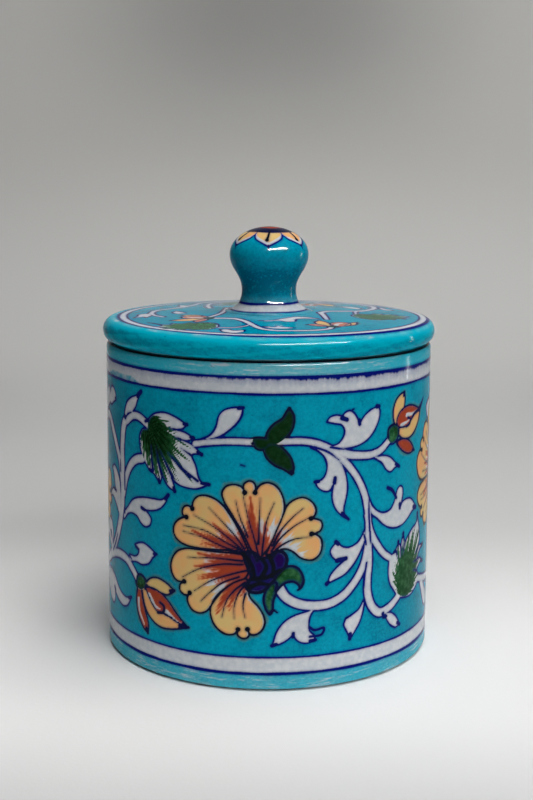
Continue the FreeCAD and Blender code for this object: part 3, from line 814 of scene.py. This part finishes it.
def painted_glaze(name, shine):
    """Turquoise glaze over the painted layers."""
    n = Nodes(name)
    fuzz = n.swing(1500, 0.5, detail=3, rough=0.65)
    slow = n.swing(260, 0.5)
    slip, bloom, ink_and_shade, soot_and_shade = n.layer("slip"), n.layer("bloom"), n.layer("ink_and_shade"), n.layer("soot_and_shade")

    # The ground pools darker and thins paler, with a fine mottle and a few pin spots. Part of the paleness is
    # painted light: on the strip under the lid, with a painted reflection at its front, and on the lid's side
    grain = n.noise(1150, detail=3, rough=0.7)
    strong = n.math("ABSOLUTE", n.layer("pool_and_painted_light"))
    rubbed = n.add(n.times(n.add(strong, n.layer("thin_and_sheen")), 0.9), 0.5)
    deep = n.math("MAXIMUM", n.layer("pool_and_painted_light"), 0.0)
    deep = n.add(deep, n.ramp(n.noise(36, detail=3), 0.42, 0.75, 0.0, 0.55))
    deep = n.add(deep, n.ramp(n.noise(170, detail=3), 0.48, 0.72, 0.0, 0.4))
    deep = n.add(deep, n.times(n.ramp(grain, 0.58, 0.34), n.times(rubbed, 0.8)))
    colour = n.mix(deep, TURQUOISE, TURQUOISE_DEEP)
    colour = n.mix(n.times(n.ramp(grain, 0.54, 0.72), n.times(rubbed, 0.7)), colour, TURQUOISE_PALE)
    # Paler where the pooling layer is below zero: painted light on the strip under the lid and on the lid's
    # side, and paler below the bottom band
    colour = n.mix(n.ramp(n.layer("pool_and_painted_light"), 0.0, -1.0), colour, TURQUOISE_PALE)
    # Paler where the glaze is thin, and in the painted reflection on the strip under the lid
    thin_and_sheen = n.add(n.layer("thin_and_sheen"), n.times(n.layer("thin_and_sheen"), n.swing(800, 1.6, detail=3)))
    ground = n.mix(thin_and_sheen, colour, TURQUOISE_THIN_AND_SHEEN)
    # Dry white streaks where the glaze is thin, stronger in the painted reflection on the strip under the lid
    dry = n.ramp(n.noise(120, detail=4, rough=0.7, stretch=(1, 1, 9)), 0.53, 0.64)
    dry = n.times(dry, n.ramp(n.layer("thin_and_sheen"), 0.06, 0.4))
    ground = n.mix(n.times(dry, 0.75), ground, WHITE_THIN)
    ground = n.mix(n.times(n.ramp(n.noise(800, detail=1), 0.73, 0.8), 0.4), ground, PIN_SPOT)

    # A faint olive halo round the petals, then the white ground over the turquoise
    halo = n.ramp(n.add(bloom, n.swing(300, 1.6)), -1.4, -0.4)
    halo = n.times(halo, n.ramp(n.noise(170), 0.35, 0.65, 0.1, 0.5))
    colour = n.mix(halo, ground, HALO)
    white = n.mix(n.ramp(n.noise(650, detail=3), 0.35, 0.7), WHITE_THIN, WHITE)
    colour = n.mix(n.ramp(n.add(slip, n.times(fuzz, 0.5)), -0.12, 0.18), colour, white)
    run = n.times(n.layer("glaze"), n.ramp(n.noise(420, detail=3), 0.3, 0.6, 0.45, 0.85))
    colour = n.mix(run, colour, TURQUOISE)

    brush = n.swing(650, 1.0, detail=3, rough=0.6)
    ochre = n.mix(n.ramp(n.noise(130, detail=2), 0.40, 0.64), OCHRE, ORANGE)
    amount = n.add(n.layer("ochre"), n.times(brush, 0.35))
    colour = n.mix(n.ramp(amount, 0.1, 0.85), colour, ochre)
    amount = n.add(n.layer("rust"), n.times(brush, 0.5))
    rust = n.mix(n.ramp(amount, 0.35, 1.0), RUST_PALE, RUST)
    colour = n.mix(n.ramp(amount, 0.1, 0.75), colour, rust)
    green = n.mix(n.ramp(brush, -0.15, 0.25), GREEN_DARK, GREEN)
    green = n.mix(n.layer("thin_and_sheen"), green, GREEN_THIN)
    green = n.mix(soot_and_shade, green, GREEN_SOOTY)
    amount = n.add(n.layer("fern"), n.times(brush, 0.35))
    colour = n.mix(n.ramp(amount, 0.2, 0.7), colour, green)
    colour = n.mix(n.layer("violet"), colour, VIOLET)

    # A cobalt line that varies in width, and bleeds, wherever the white ground ends
    outline = n.math("SUBTRACT", n.add(n.times(slow, 0.6), 0.29), n.math("ABSOLUTE", n.add(slip, 0.06)))
    line = n.math("MAXIMUM", outline, ink_and_shade)
    bleed = n.times(n.ramp(n.add(line, fuzz), -0.7, 0.0), 0.36)
    colour = n.mix(bleed, colour, n.mix(soot_and_shade, COBALT_BLEED, BLACK_BLEED))
    sharp = n.ramp(n.add(line, n.times(fuzz, 0.4)), -0.12, 0.11)
    colour = n.mix(sharp, colour, n.mix(soot_and_shade, COBALT, BLACK))
    colour = n.mix(n.layer("plain"), colour, inner_colour(n))

    n.bump(n.add(n.times(n.noise(85, detail=2), 0.8), n.times(n.noise(1100, detail=2), 0.02)), 0.0006, 0.35)
    return n.finish(colour, n.ramp(n.noise(300, detail=2), 0.3, 0.7, 0.07, 0.14), shine=shine)


def inner_glaze():
    n = Nodes("inner_glaze")
    crackle = n.ramp(n.noise(900, detail=3), 0.66, 0.74)
    colour = n.mix(n.times(crackle, 0.35), inner_colour(n), CRACKLE)
    n.bump(n.noise(90, detail=2), 0.0006, 0.3)
    return n.finish(colour, n.ramp(n.noise(240), 0.3, 0.7, 0.14, 0.28), shine=0.3)


def bare_biscuit():
    """Where the glaze is wiped off: a grey, sandy body."""
    n = Nodes("bare_biscuit")
    colour = n.mix(n.ramp(n.noise(400, detail=4), 0.35, 0.7), BISCUIT, BISCUIT_PALE)
    colour = n.mix(n.times(n.ramp(n.noise(60), 0.5, 0.75), 0.5), colour, BISCUIT_STAIN)
    n.bump(n.noise(1600, detail=4), 0.0003, 0.6)
    return n.finish(colour, n.ramp(n.noise(500), 0.3, 0.7, 0.75, 0.95), shine=0.3)


# ---------------------------------------------------------------------------------------------
# The jar's wall

def wall():
    low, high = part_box("jar_wall")
    base, top, foot = high.x / MM, high.z / MM, low.z / MM
    mouth, thick, rim, heel = 49.4, 5.5, 1.7, 0.8
    inner = mouth - thick
    profile = [(base - heel, foot)] + arc((base - heel, foot + heel), heel, -90, 0, 5)
    profile += span(profile[-1], (mouth, top - rim), 0.4)
    profile += arc((mouth - rim, top - rim), rim, 0, 90, 7)
    profile += span((mouth - rim, top), (inner + rim, top), 0.7)
    outer_rows = len(profile)
    profile += arc((inner + rim, top - rim), rim, 90, 180, 7) + span((inner, top - rim), (inner, foot), 6.0)
    profile += span((inner, foot), (base - heel, foot), 3.0)[:-1]
    columns = 784
    piece = turned("jar_wall_painted", profile, columns, closed=True)

    period = columns // 2
    spread = math.pi * base / period
    u = (np.arange(period) - period / 2) * spread          # mm to the right of the front
    # Painted height: z on the wall, and on past it over the rim
    height = np.array([z for _, z in profile[:outer_rows]])
    inward = np.array([mouth - r for r, _ in profile[:outer_rows]])
    height += np.where(height > top - rim, np.maximum(inward, 0) * 1.2, 0)
    uu, vv = np.meshgrid(u, height)
    paint = Paint(uu, vv)
    for repeat in (-1, 0, 1):
        scroll(paint.at(move=(repeat * math.pi * base, 0)))
    bands(paint, uu.ravel(), vv.ravel(), spread * period)

    layers = {}
    for name, values in paint.layers.items():
        grid = values.reshape(outer_rows, period)
        # The mesh's first column is at the back, in the middle of the other repeat
        layers[name] = np.roll(np.hstack([grid, grid]), period // 2, axis=1).ravel()
    # Inside the rim the wall has the plain glaze, down from a wavy line
    turn = np.tile(np.linspace(0, 2 * math.pi, columns, endpoint=False), len(profile))
    row = np.repeat(np.arange(len(profile)), columns)
    wavy = row + 0.8 * np.sin(5 * turn) + 0.6 * np.sin(11 * turn + 1)
    layers["plain"] = ramp(wavy, outer_rows, outer_rows + 4)
    store(piece, layers)
    return piece


WHITE_BANDS = ((5.4, 9.95, 1.0), (84.95, 89.3, 2.0))                # low edge, high edge, seed
BAND_LINES = ((5.2, 0.44, 0.3), (10.05, 0.28, 1.3), (84.8, 0.34, 2.3))   # height, half width, seed
TOP_LINE = 89.45
# Low and high painted height of the band of painted shade on the rim's shoulder
RIM_SHADE_LINE = (93.95, 95.3)


def bands(paint, u, v, period):
    """The white bands and cobalt lines round the foot and the rim."""
    a = 2 * math.pi * u / period

    def wander(size, k, seed):
        return size * (np.sin(k * a + seed) + 0.6 * np.sin((2 * k + 1) * a + 2 * seed))
    layers = paint.layers
    for low, high, seed in WHITE_BANDS:
        edge = np.minimum(v - low - wander(0.05, 3, seed), high + wander(0.08, 2, seed) - v)
        paint.cover("slip", edge)
    for z, half, seed in BAND_LINES:
        depth = half + wander(0.05, 7, seed) - np.abs(v - z - wander(0.07, 2, seed))
        paint.cover("ink_and_shade", depth)
    # The top line bleeds down into the white in fine threads, most of all at the front's right
    z = TOP_LINE + wander(0.06, 2, 0.5)
    heavy = 0.5 + 0.5 * np.sin(a + 0.5)
    threads = 0.3 * ripple(u * 0.12, 1.0) + 0.22 * ripple(u * 0.8, 2.0) + 0.16 * ripple(u * 2.7, 4.0)
    run = 0.3 + 0.5 * heavy ** 2 * (1 + 1.3 * threads) + 0.5 * threads
    paint.cover("ink_and_shade", np.where(v > z, 0.45 - (v - z), 0.30 * (run - (z - v))))
    # Turquoise has run over the white at the front's left
    tongue = 1.9 * ramp(u, -66, -58) * ramp(u, -40, -46) + 0.2 * ripple(u * 0.3, 2.0)
    layers["glaze"] = ramp(tongue - (v - 84.9), -0.1, 0.5) * ramp(v, 84.6, 85.0)
    # Glaze rubbed thin below the bottom band and above the top one, in level strokes. Above the top one it is
    # also painted paler, a painted light against the lid's shadow, and paler still in a painted reflection
    # that is strongest at the front
    streak = 0.5 + 0.35 * ripple(v * 1.1 + 0.9 * np.sin(a * 2 + 1) + ripple(u * 0.09, 6.0), 3.0)
    front_sheen = np.exp(-((u - 4) / 24) ** 2)
    layers["thin_and_sheen"] = np.maximum(ramp(v, 5.6, 4.4) * (0.12 + 0.28 * streak + 0.10 * ripple(u * 0.06, 5.0)),
                                ramp(v, 89.4, 90.4) * (0.06 + 0.3 * front_sheen + (0.12 + 0.4 * front_sheen) * streak))
    # Deeper at the heel. Painted light from the strip above the top band up over the rim, paler against the
    # lid's shadow. Paler below the bottom band
    layers["pool_and_painted_light"] = 0.5 * ramp(v, 0.9, 0.6) - 0.8 * ramp(v, 89.5, 90.3) - 0.5 * ramp(v, 5.2, 4.6)
    # Painted shade: a dark line round the rim's shoulder, under the lid's edge, where the gap between lid and
    # jar lies in shadow; it is painted black
    paint.cover("ink_and_shade", np.minimum(v - RIM_SHADE_LINE[0] - wander(0.05, 5, 0.4), RIM_SHADE_LINE[1] - v))
    paint.cover("soot_and_shade", ramp(v, 93.2, 93.6))


# ---------------------------------------------------------------------------------------------
# The lid, seen from above: mm to the right and to the back of the middle.

def lid_bud(p):
    """A bud on its calyx, which is the middle: it points up and is about 10 mm long."""
    for outline, colour in (
            ([(-1, 0.4), (-3.6, 0.2), (-7.2, 2.4, 1), (-5.4, 3.6), (-2.6, 2.8)], "rust"),
            ([(-1, 1), (-3.8, 3.4), (-4.6, 7), (-3.4, 10.6, 1), (-1.4, 8), (-0.4, 5), (0.4, 2)], "ochre"),
            ([(0, 1.4), (-0.4, 4.4), (0.8, 7.4), (3.4, 8.4), (5.6, 7.2, 1), (5.6, 4.4), (4.4, 2), (2, 0.8)],
             "rust"),
            ([(3.6, 2.6), (5.8, 3.2), (7.2, 5.4), (7.6, 9.4, 1), (5.6, 7.8), (4.8, 5.4)], "ochre")):
        k, _, depth = p.leaf(outline)
        p.raise_layer("bloom", k, depth)
        p.lower(("rust" if colour == "ochre" else "ochre",), k, 1 - ramp(depth, -0.2, 0.2))
        p.raise_layer(colour, k, (1.0 if colour == "ochre" else 0.62) * ramp(depth, 0.0, 0.6))
        p.edge(outline, 0.2, 0.6)
    scrape(p, [(1.2, 2.6), (1.8, 5), (3.2, 6.8)], 0.7, 0.3, ("rust",))
    k, _, depth = p.leaf([(-1.6, -0.6), (-0.8, 1.6), (0.8, 2.4), (2.2, 1.2), (1.8, -0.8), (0.2, -1.6)])
    p.raise_layer("fern", k, ramp(depth, -0.1, 0.4))


def lid_leaf(p):
    """A feathered leaf that runs from its stalk at the middle nearly 19 mm to the right."""
    outline = [(0, 0), (0.4, 3.4), (2.6, 6), (5.8, 6.6), (8.4, 5.2, 1), (10.4, 7), (12.8, 6.6, 1),
               (11.8, 4.8, 1), (14.4, 5), (16.4, 3.6, 1), (14.4, 2.4, 1), (17, 1.4), (18.6, 0, 1),
               (16.4, -1), (16.6, -3.4, 1), (14, -3.2, 1), (13.6, -5.8, 1), (11, -4.8), (9, -6.8, 1),
               (7.2, -5.8), (4, -6.4), (1, -4)]
    p.leaf(outline)
    brushed_green(p, outline, (1.0, 0), 22.0, 0, 75, 3.0, dark=0.3, pale=0.8)


def lid_paint(p):
    for points, start, end in (
            ([(-18.5, -17), (-13.5, -17.4), (-9.8, -19), (-7.3, -22.7), (-5.4, -27.7), (-3.8, -32.7),
              (-1.6, -37), (2, -39.3), (7.8, -39.2), (12.8, -38), (16.6, -35.2), (17.8, -32)], 1.2, 0.9),
            ([(-14, -34.4), (-10, -34.6), (-6.8, -32.2), (-5.4, -29.5)], 0.7, 0.7),
            ([(-13, 8), (-13.4, 0), (-14.6, -8), (-17.4, -14)], 0.8, 0.9),
            ([(15.6, -4), (16.3, -10), (16.9, -18)], 1.1, 0.8),
            ([(15.6, -4), (18, 0.4), (23, 3), (28, 5.8), (31.4, 11), (33.6, 18), (33.4, 25), (30.5, 30.5)],
             1.1, 1.1),
            ([(27.5, 6), (26.6, 2), (26.4, -3)], 0.7, 0.6),
            ([(-35.6, -1.5), (-34.4, -6), (-31.5, -10.5)], 0.8, 0.8),
            ([(30, 31), (24, 35.5), (18, 33.5), (13.5, 28.5), (8, 27), (1, 31)], 1.1, 1.0),
            ([(-5, 40), (-15, 39), (-22, 32), (-24.6, 22), (-29, 14), (-35, 7), (-36, -2)], 1.1, 1.0),
            ([(2, 30), (-3, 36), (-10, 36), (-18, 30), (-19.5, 20), (-18.5, 9)], 1.0, 0.9)):
        p.stem(points, start, end)
    for outline in (
            [(-2.6, -22.4, 1), (-0.6, -23.6), (3, -22.6), (5, -24.2), (7.6, -23.6), (7.6, -20.6, 1),
             (8.6, -18.6), (11.6, -17.6), (15, -18.2), (11.6, -15.2), (7.6, -15.2), (4, -18.8), (0.8, -22)],
            [(-1.8, -32.6), (0.6, -35.8), (4.2, -36.2), (7.4, -34.8, 1), (4.4, -33.4), (2.4, -31.8, 1),
             (1.4, -33.6)],
            [(-13.6, -37.4, 1), (-12.6, -41.4), (-9.6, -43.4), (-7, -41.6), (-6.8, -38.6, 1), (-9.4, -39.6),
             (-11.4, -37.4)],
            [(-37.2, -1), (-39.6, -2.6), (-39.4, -6.4), (-40.4, -11, 1), (-37.6, -8.6), (-36.6, -11.2, 1),
             (-35.4, -7), (-35.6, -3)],
            [(-28.6, 3.6, 1), (-29.4, -1), (-27.4, -4.4), (-24.8, -3.4, 1), (-26.4, -0.6)],
            [(36, 22, 1), (37.6, 17), (39.4, 13.6), (37.4, 12.4), (35.2, 17)],
            [(23, 20, 1), (24.6, 15), (28.4, 12.4), (29.2, 15.4), (26.6, 19)],
            [(-29, 24, 1), (-28.6, 18), (-27, 14), (-25.2, 18), (-26.6, 22)],
            [(-8, 44, 1), (-3, 42.4), (2, 43.6, 1), (0, 40), (-5, 39.6)],
            [(10, 40, 1), (14, 38.4), (19, 39.6, 1), (17, 36), (12, 36)]):
        p.leaf(outline)
    for x, y, size in ((-2.6, -22.4, 0.6), (7.6, -21, 0.5), (7.2, -34.8, 0.5), (-13.4, -37.6, 0.6),
                       (-7, -38.8, 0.6), (-40.2, -10.8, 0.5), (-33.6, -23, 0.5)):
        p.dot(x, y, size, soot_and_shade=0.3)
    p.line([(-35, -22), (-32.8, -24.4), (-30.6, -27.4)], 0.3, 0.5, soot_and_shade=0.3)
    lid_leaf(p.at(move=(-14.2, -31.2), turn=178))
    lid_leaf(p.at(move=(26, -11), turn=26))
    lid_leaf(p.at(move=(-3, 32.5), turn=214, scale=0.95))
    lid_bud(p.at(move=(17.8, -31.2)))
    lid_bud(p.at(move=(-17.4, -16.8), turn=84, scale=1.05))
    lid_bud(p.at(move=(14, 28), turn=200, scale=1.05))


# The lid's border, as distances from its middle along the surface
BORDER_CENTRE, BORDER_HALF = 45.6, 1.15
BORDER_OUTER_LINE, BORDER_INNER_LINE = 47.0, 44.4


def lid():
    low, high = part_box("lid_plate")
    radius, under, top = high.x / MM, low.z / MM, high.z / MM
    lower, upper, rise, seat = 3.0, 3.5, 1.5, 13.4
    edge_top = top - rise
    profile = [(0, under)] + span((0, under), (radius - lower, under), 4.0)
    under_rows = len(profile)
    profile += arc((radius - lower, under + lower), lower, -90, 0, 10)
    profile += [(radius, edge_top - upper)] + arc((radius - upper, edge_top - upper), upper, 0, 90, 12)
    profile += span((radius - upper, edge_top), (seat, top), 0.4) + span((seat, top), (0, top), 3.0)
    columns = 720
    piece = turned("lid_plate_painted", profile, columns, closed=False)
    _, x, y = from_the_top(profile, columns)
    paint = Paint(x, y)
    lid_paint(paint)
    # A white ring between two cobalt lines, drawn a little off centre
    x, y = x.ravel(), y.ravel()
    out = np.hypot(x - 1.2, y + 1.0)
    a = np.arctan2(y, x)
    wave = 0.12 * np.sin(3 * a + 1) + 0.08 * np.sin(7 * a)
    layers = paint.layers
    paint.cover("slip", BORDER_HALF - np.abs(out - BORDER_CENTRE - wave))
    heavy = 0.30 + 0.22 * (0.5 + 0.5 * np.cos(a + 0.6))
    paint.cover("ink_and_shade", heavy - np.abs(out - BORDER_OUTER_LINE - wave))
    paint.cover("ink_and_shade", 0.22 - np.abs(out - BORDER_INNER_LINE - wave))
    rubbed = ramp(out, 47.2, 47.8) * ramp(out, 49.4, 48.2) * (0.22 + 0.22 * ripple(a * 4, 2.0))
    paint.cover("thin_and_sheen", rubbed)
    # Deeper blotches of glaze round the lid's side. From just past the border outward the edge is painted
    # paler all round, a painted light that brightens it
    blotch = 0.5 + ripple(a * 2.6 + 0.4 * out, 4.0) * 0.6 + ripple(a * 7 - 0.3 * out, 1.0) * 0.4
    layers["pool_and_painted_light"] = ramp(out, 49.5, 51.5) * np.clip(blotch, 0, 1) * 0.9 - 0.85 * ramp(out, 47.4, 48.2)
    row = np.repeat(np.arange(len(profile) - 2), columns)
    layers["plain"] = ramp(row + 0.6 * np.sin(9 * a), under_rows + 1.0, under_rows - 2.0)
    store(piece, layers)
    return piece


def bezier(a, b, c, d, count):
    t = np.linspace(0, 1, count + 1)[1:, None]
    a, b, c, d = (np.array(p, float) for p in (a, b, c, d))
    curve = (1 - t) ** 3 * a + 3 * t * (1 - t) ** 2 * b + 3 * t * t * (1 - t) * c + t ** 3 * d
    return [tuple(p) for p in curve]


def knob():
    low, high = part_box("lid_knob")
    base, top, foot_radius = low.z / MM, high.z / MM, high.x / MM
    foot, neck, widest = (foot_radius, base + 0.04), (8.3, base + 6.5), (12.0, base + 17.2)
    round_off = 0.5523
    profile = [(0, base), (foot_radius - 0.4, base), (foot_radius - 0.02, base), foot]
    profile += bezier(foot, (foot[0] - 3.8, foot[1] + 0.85), (neck[0], neck[1] - 3.3), neck, 34)
    profile += bezier(neck, (neck[0], neck[1] + 4.6), (widest[0], widest[1] - 4.6), widest, 44)
    profile += bezier(widest, (widest[0], widest[1] + (top - widest[1]) * round_off),
                      (widest[0] * round_off, top), (0, top), 60)
    columns = 320
    piece = turned("lid_knob_painted", profile, columns, closed=False)
    reach, x, y = from_the_top(profile, columns)
    heights = np.array([z for _, z in profile[1:-1]])
    paint = Paint(x, y)
    for number in range(6):
        petal(paint.at(turn=60 * number - 91.5))
    layers = paint.layers
    out, a = np.repeat(reach, columns), np.tile(around(columns), len(reach))
    wave = 0.15 * np.sin(2 * a + 0.5) + 0.1 * np.sin(5 * a)
    # A dark ring with a rust centre on the crown
    paint.cover("rust", ramp(out + wave, 4.2, 3.5))
    paint.cover("slip", 6.0 - out)
    paint.cover("ink_and_shade", 1.75 - np.abs(out + wave - 5.4))
    paint.cover("soot_and_shade", 0.8 * ramp(out, 7.6, 7.0))
    # A white ring on the foot between two cobalt lines
    inner, outer = (float(np.interp(z, heights[3:], reach[3:])) for z in (base + 2.75, base + 0.62))
    paint.cover("slip", np.minimum(out - inner - wave * 0.5, outer + wave * 0.6 - out))
    paint.cover("ink_and_shade", 0.36 + 0.3 * wave - np.abs(out - inner + 0.1 - wave * 0.5))
    paint.cover("ink_and_shade", 0.24 - np.abs(out - outer - wave * 0.6))
    height = np.repeat(heights, columns)
    layers["pool_and_painted_light"] = 0.8 * ramp(height, base + 4.0, base + 8.0) * ramp(height, base + 15.5, base + 10.5)
    layers["thin_and_sheen"] = 0.18 * ramp(out, inner - 3.2, inner - 0.6)
    store(piece, layers)
    return piece


def petal(p):
    """One of the crown's petals: out along x from the dark ring to its point."""
    outline = [(4.8, -2.7), (7.3, -4.2, 1), (9.4, -4.1), (11.2, -2.7), (13.1, 0, 1), (11.2, 2.7), (9.4, 4.1),
               (7.3, 4.2, 1), (4.8, 2.7)]
    p.leaf(outline)
    k, _, depth = p.region([(4.8, -2.5), (7.4, -3.8), (9.2, -3.1), (10.6, -1.8), (11.7, 0), (10.6, 1.8),
                            (9.2, 3.1), (7.4, 3.8), (4.8, 2.5)])
    p.raise_layer("ochre", k, ramp(depth, -0.2, 0.3))
    p.line([(12.8, 0), (13.9, 0.1)], 0.4, 0.2, soot_and_shade=0.4)
    p.line([(6.2, 0.3), (8.6, 0), (10.6, -0.4)], 0.3, 0.42, soot_and_shade=1.0)
    p.dot(10.7, -0.45, 0.66, soot_and_shade=1.0)


for make, name, body, node, finish, shine in (
        (wall, "jar_wall_painted", "jar", "jar_wall", "painted_wall_glaze", 0.03),
        (lid, "lid_plate_painted", "lid", "lid_plate", "painted_lid_glaze", 0.016),
        (knob, "lid_knob_painted", "lid", "lid_knob", "painted_knob_glaze", 0.06)):
    piece = make()
    piece.data.materials.append(painted_glaze(finish, shine))
    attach(piece, body)
    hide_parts(node)

inner = inner_glaze()
for name, material, finish in (("jar_floor", inner, "inner_glaze"),
                               ("lid_locating_ring", inner, "inner_glaze"),
                               ("foot_ring", bare_biscuit(), "bare_biscuit")):
    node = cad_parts[name]
    node.data.materials.clear()
    node.data.materials.append(material)


# ---------------------------------------------------------------------------------------------
# Stage, lights and camera

FLOOR = ((0.735, 0.73, 0.725), (0.765, 0.76, 0.755))     # the two tones of its mottle
# Painted shade on the floor and the backdrop: the darker tones toward the back, the front, the sides and up
# high
FLOOR_SHADE_BEHIND = (0.53, 0.53, 0.525)
FLOOR_SHADE_BEFORE = (0.47, 0.47, 0.47)
FLOOR_SHADE_ASIDE = (0.30, 0.30, 0.30)
PAPER_LOW = (0.67, 0.665, 0.65)
PAPER_SHADE_HIGH = (0.53, 0.523, 0.502)
PAPER_SHADED = (0.16, 0.158, 0.15)
PAPER_SHADE_ASIDE = (0.17, 0.168, 0.162)


def stage():
    """A pale floor that sweeps up into a grey backdrop, darkest behind and above the jar. Its tones are
    painted shade: the floor darker behind the jar, in front of it and to the sides, and the backdrop darker
    higher up, above the jar and to the sides.
    """
    profile = [(-4.0, 0.0), (-0.9, 0.0), (0.5, 0.0)]
    profile += [(0.5 + 0.4 * math.sin(t), 0.4 - 0.4 * math.cos(t)) for t in np.linspace(0.1, math.pi / 2, 14)]
    profile += [(0.9, 2.2)]
    xs = np.linspace(-4.0, 4.0, 17)
    under = 0.00002                       # the floor lies this far below the foot
    points = [(x, y, z - under) for y, z in profile for x in xs]
    n = len(xs)
    faces = [(i * n + j, i * n + j + 1, (i + 1) * n + j + 1, (i + 1) * n + j)
             for i in range(len(profile) - 1) for j in range(n - 1)]
    sweep = new_piece("backdrop", points, faces)
    n = Nodes("backdrop_paper_painted_shade")
    split = n.tree.nodes.new("ShaderNodeSeparateXYZ")
    n.put(split.inputs[0], n.place())
    x, y, z = split.outputs
    floor = n.mix(n.noise(6, detail=2), *FLOOR)
    # Painted shade: the floor darker behind the jar
    floor = n.mix(n.ramp(y, -0.02, 0.14), floor, FLOOR_SHADE_BEHIND)
    # Painted shade: the floor darker toward the front
    floor = n.mix(n.ramp(y, -0.06, -0.15), floor, FLOOR_SHADE_BEFORE)
    # Painted shade: the backdrop darker higher up
    paper = n.mix(n.ramp(z, 0.02, 0.18), PAPER_LOW, PAPER_SHADE_HIGH)
    aside = n.math("ABSOLUTE", x)
    # Painted shade: the floor darker to the sides
    floor = n.mix(n.ramp(aside, 0.12, 0.34), floor, FLOOR_SHADE_ASIDE)
    shade = n.times(n.ramp(z, 0.10, 0.30), n.ramp(aside, 0.28, 0.02))
    paper = n.mix(n.times(shade, 0.72), paper, PAPER_SHADED)
    # Painted shade: the backdrop darker to the sides
    paper = n.mix(n.ramp(aside, 0.22, 0.7), paper, PAPER_SHADE_ASIDE)
    colour = n.mix(n.ramp(y, 0.3, 0.6), floor, paper)
    n.bump(n.noise(900, detail=2), 0.0002, 0.2)
    sweep.data.materials.append(n.finish(colour, 0.8, shine=0.2))


def area_light(name, place, target, size, power, mirrored=True, lights=True):
    """A soft panel. mirrored says whether it shows in the glaze, and lights whether it lights matt things."""
    data = bpy.data.lights.new(name, "AREA")
    data.shape, data.size, data.size_y = "RECTANGLE", size[0], size[1]
    data.energy = power
    lamp = bpy.data.objects.new(name, data)
    lamp.location = place
    lamp.rotation_euler = (Vector(target) - Vector(place)).to_track_quat("-Z", "Y").to_euler()
    lamp.visible_glossy, lamp.visible_diffuse = mirrored, lights
    bpy.context.scene.collection.objects.link(lamp)


stage()
area_light("top_soft", (0.16, -0.10, 1.0), (0.04, 0.04, 0.0), (0.8, 0.6), 8.9, mirrored=False)
area_light("key", (0.42, -0.72, 0.60), (0, 0, 0.06), (0.6, 0.3), 2.8, mirrored=False)
area_light("glint", (0.34, -0.60, 0.70), (0, 0, 0.10), (0.9, 0.08), 200.0, lights=False)
area_light("right_strip", (0.34, 0.10, 0.12), (0.043, -0.025, 0.09), (0.006, 0.17), 0.14, lights=False)
world = bpy.data.worlds.new("studio")
bpy.context.scene.world = world
world.use_nodes = True
world.node_tree.nodes["Background"].inputs["Color"].default_value = (0.8, 0.8, 0.79, 1)
world.node_tree.nodes["Background"].inputs["Strength"].default_value = 0.04

CAMERA_LENS = 58.14                       # mm, on a sensor 36 mm high
CAMERA_DOWN, CAMERA_ROLL = 10.275, 0.293  # degrees
CAMERA_PLACE = (-0.00058, -0.3932, 0.1457)

data = bpy.data.cameras.new("camera")
camera = bpy.data.objects.new("camera", data)
bpy.context.scene.collection.objects.link(camera)
data.sensor_fit, data.sensor_height, data.sensor_width = "VERTICAL", 36.0, 36.0
data.lens = CAMERA_LENS
data.clip_start, data.clip_end = 0.01, 20
camera.rotation_euler = (Matrix.Rotation(math.radians(90 - CAMERA_DOWN), 3, "X")
                         @ Matrix.Rotation(math.radians(CAMERA_ROLL), 3, "Z")).to_euler()
camera.location = CAMERA_PLACE
bpy.context.scene.camera = camera
bpy.context.scene.view_settings.view_transform = "Standard"
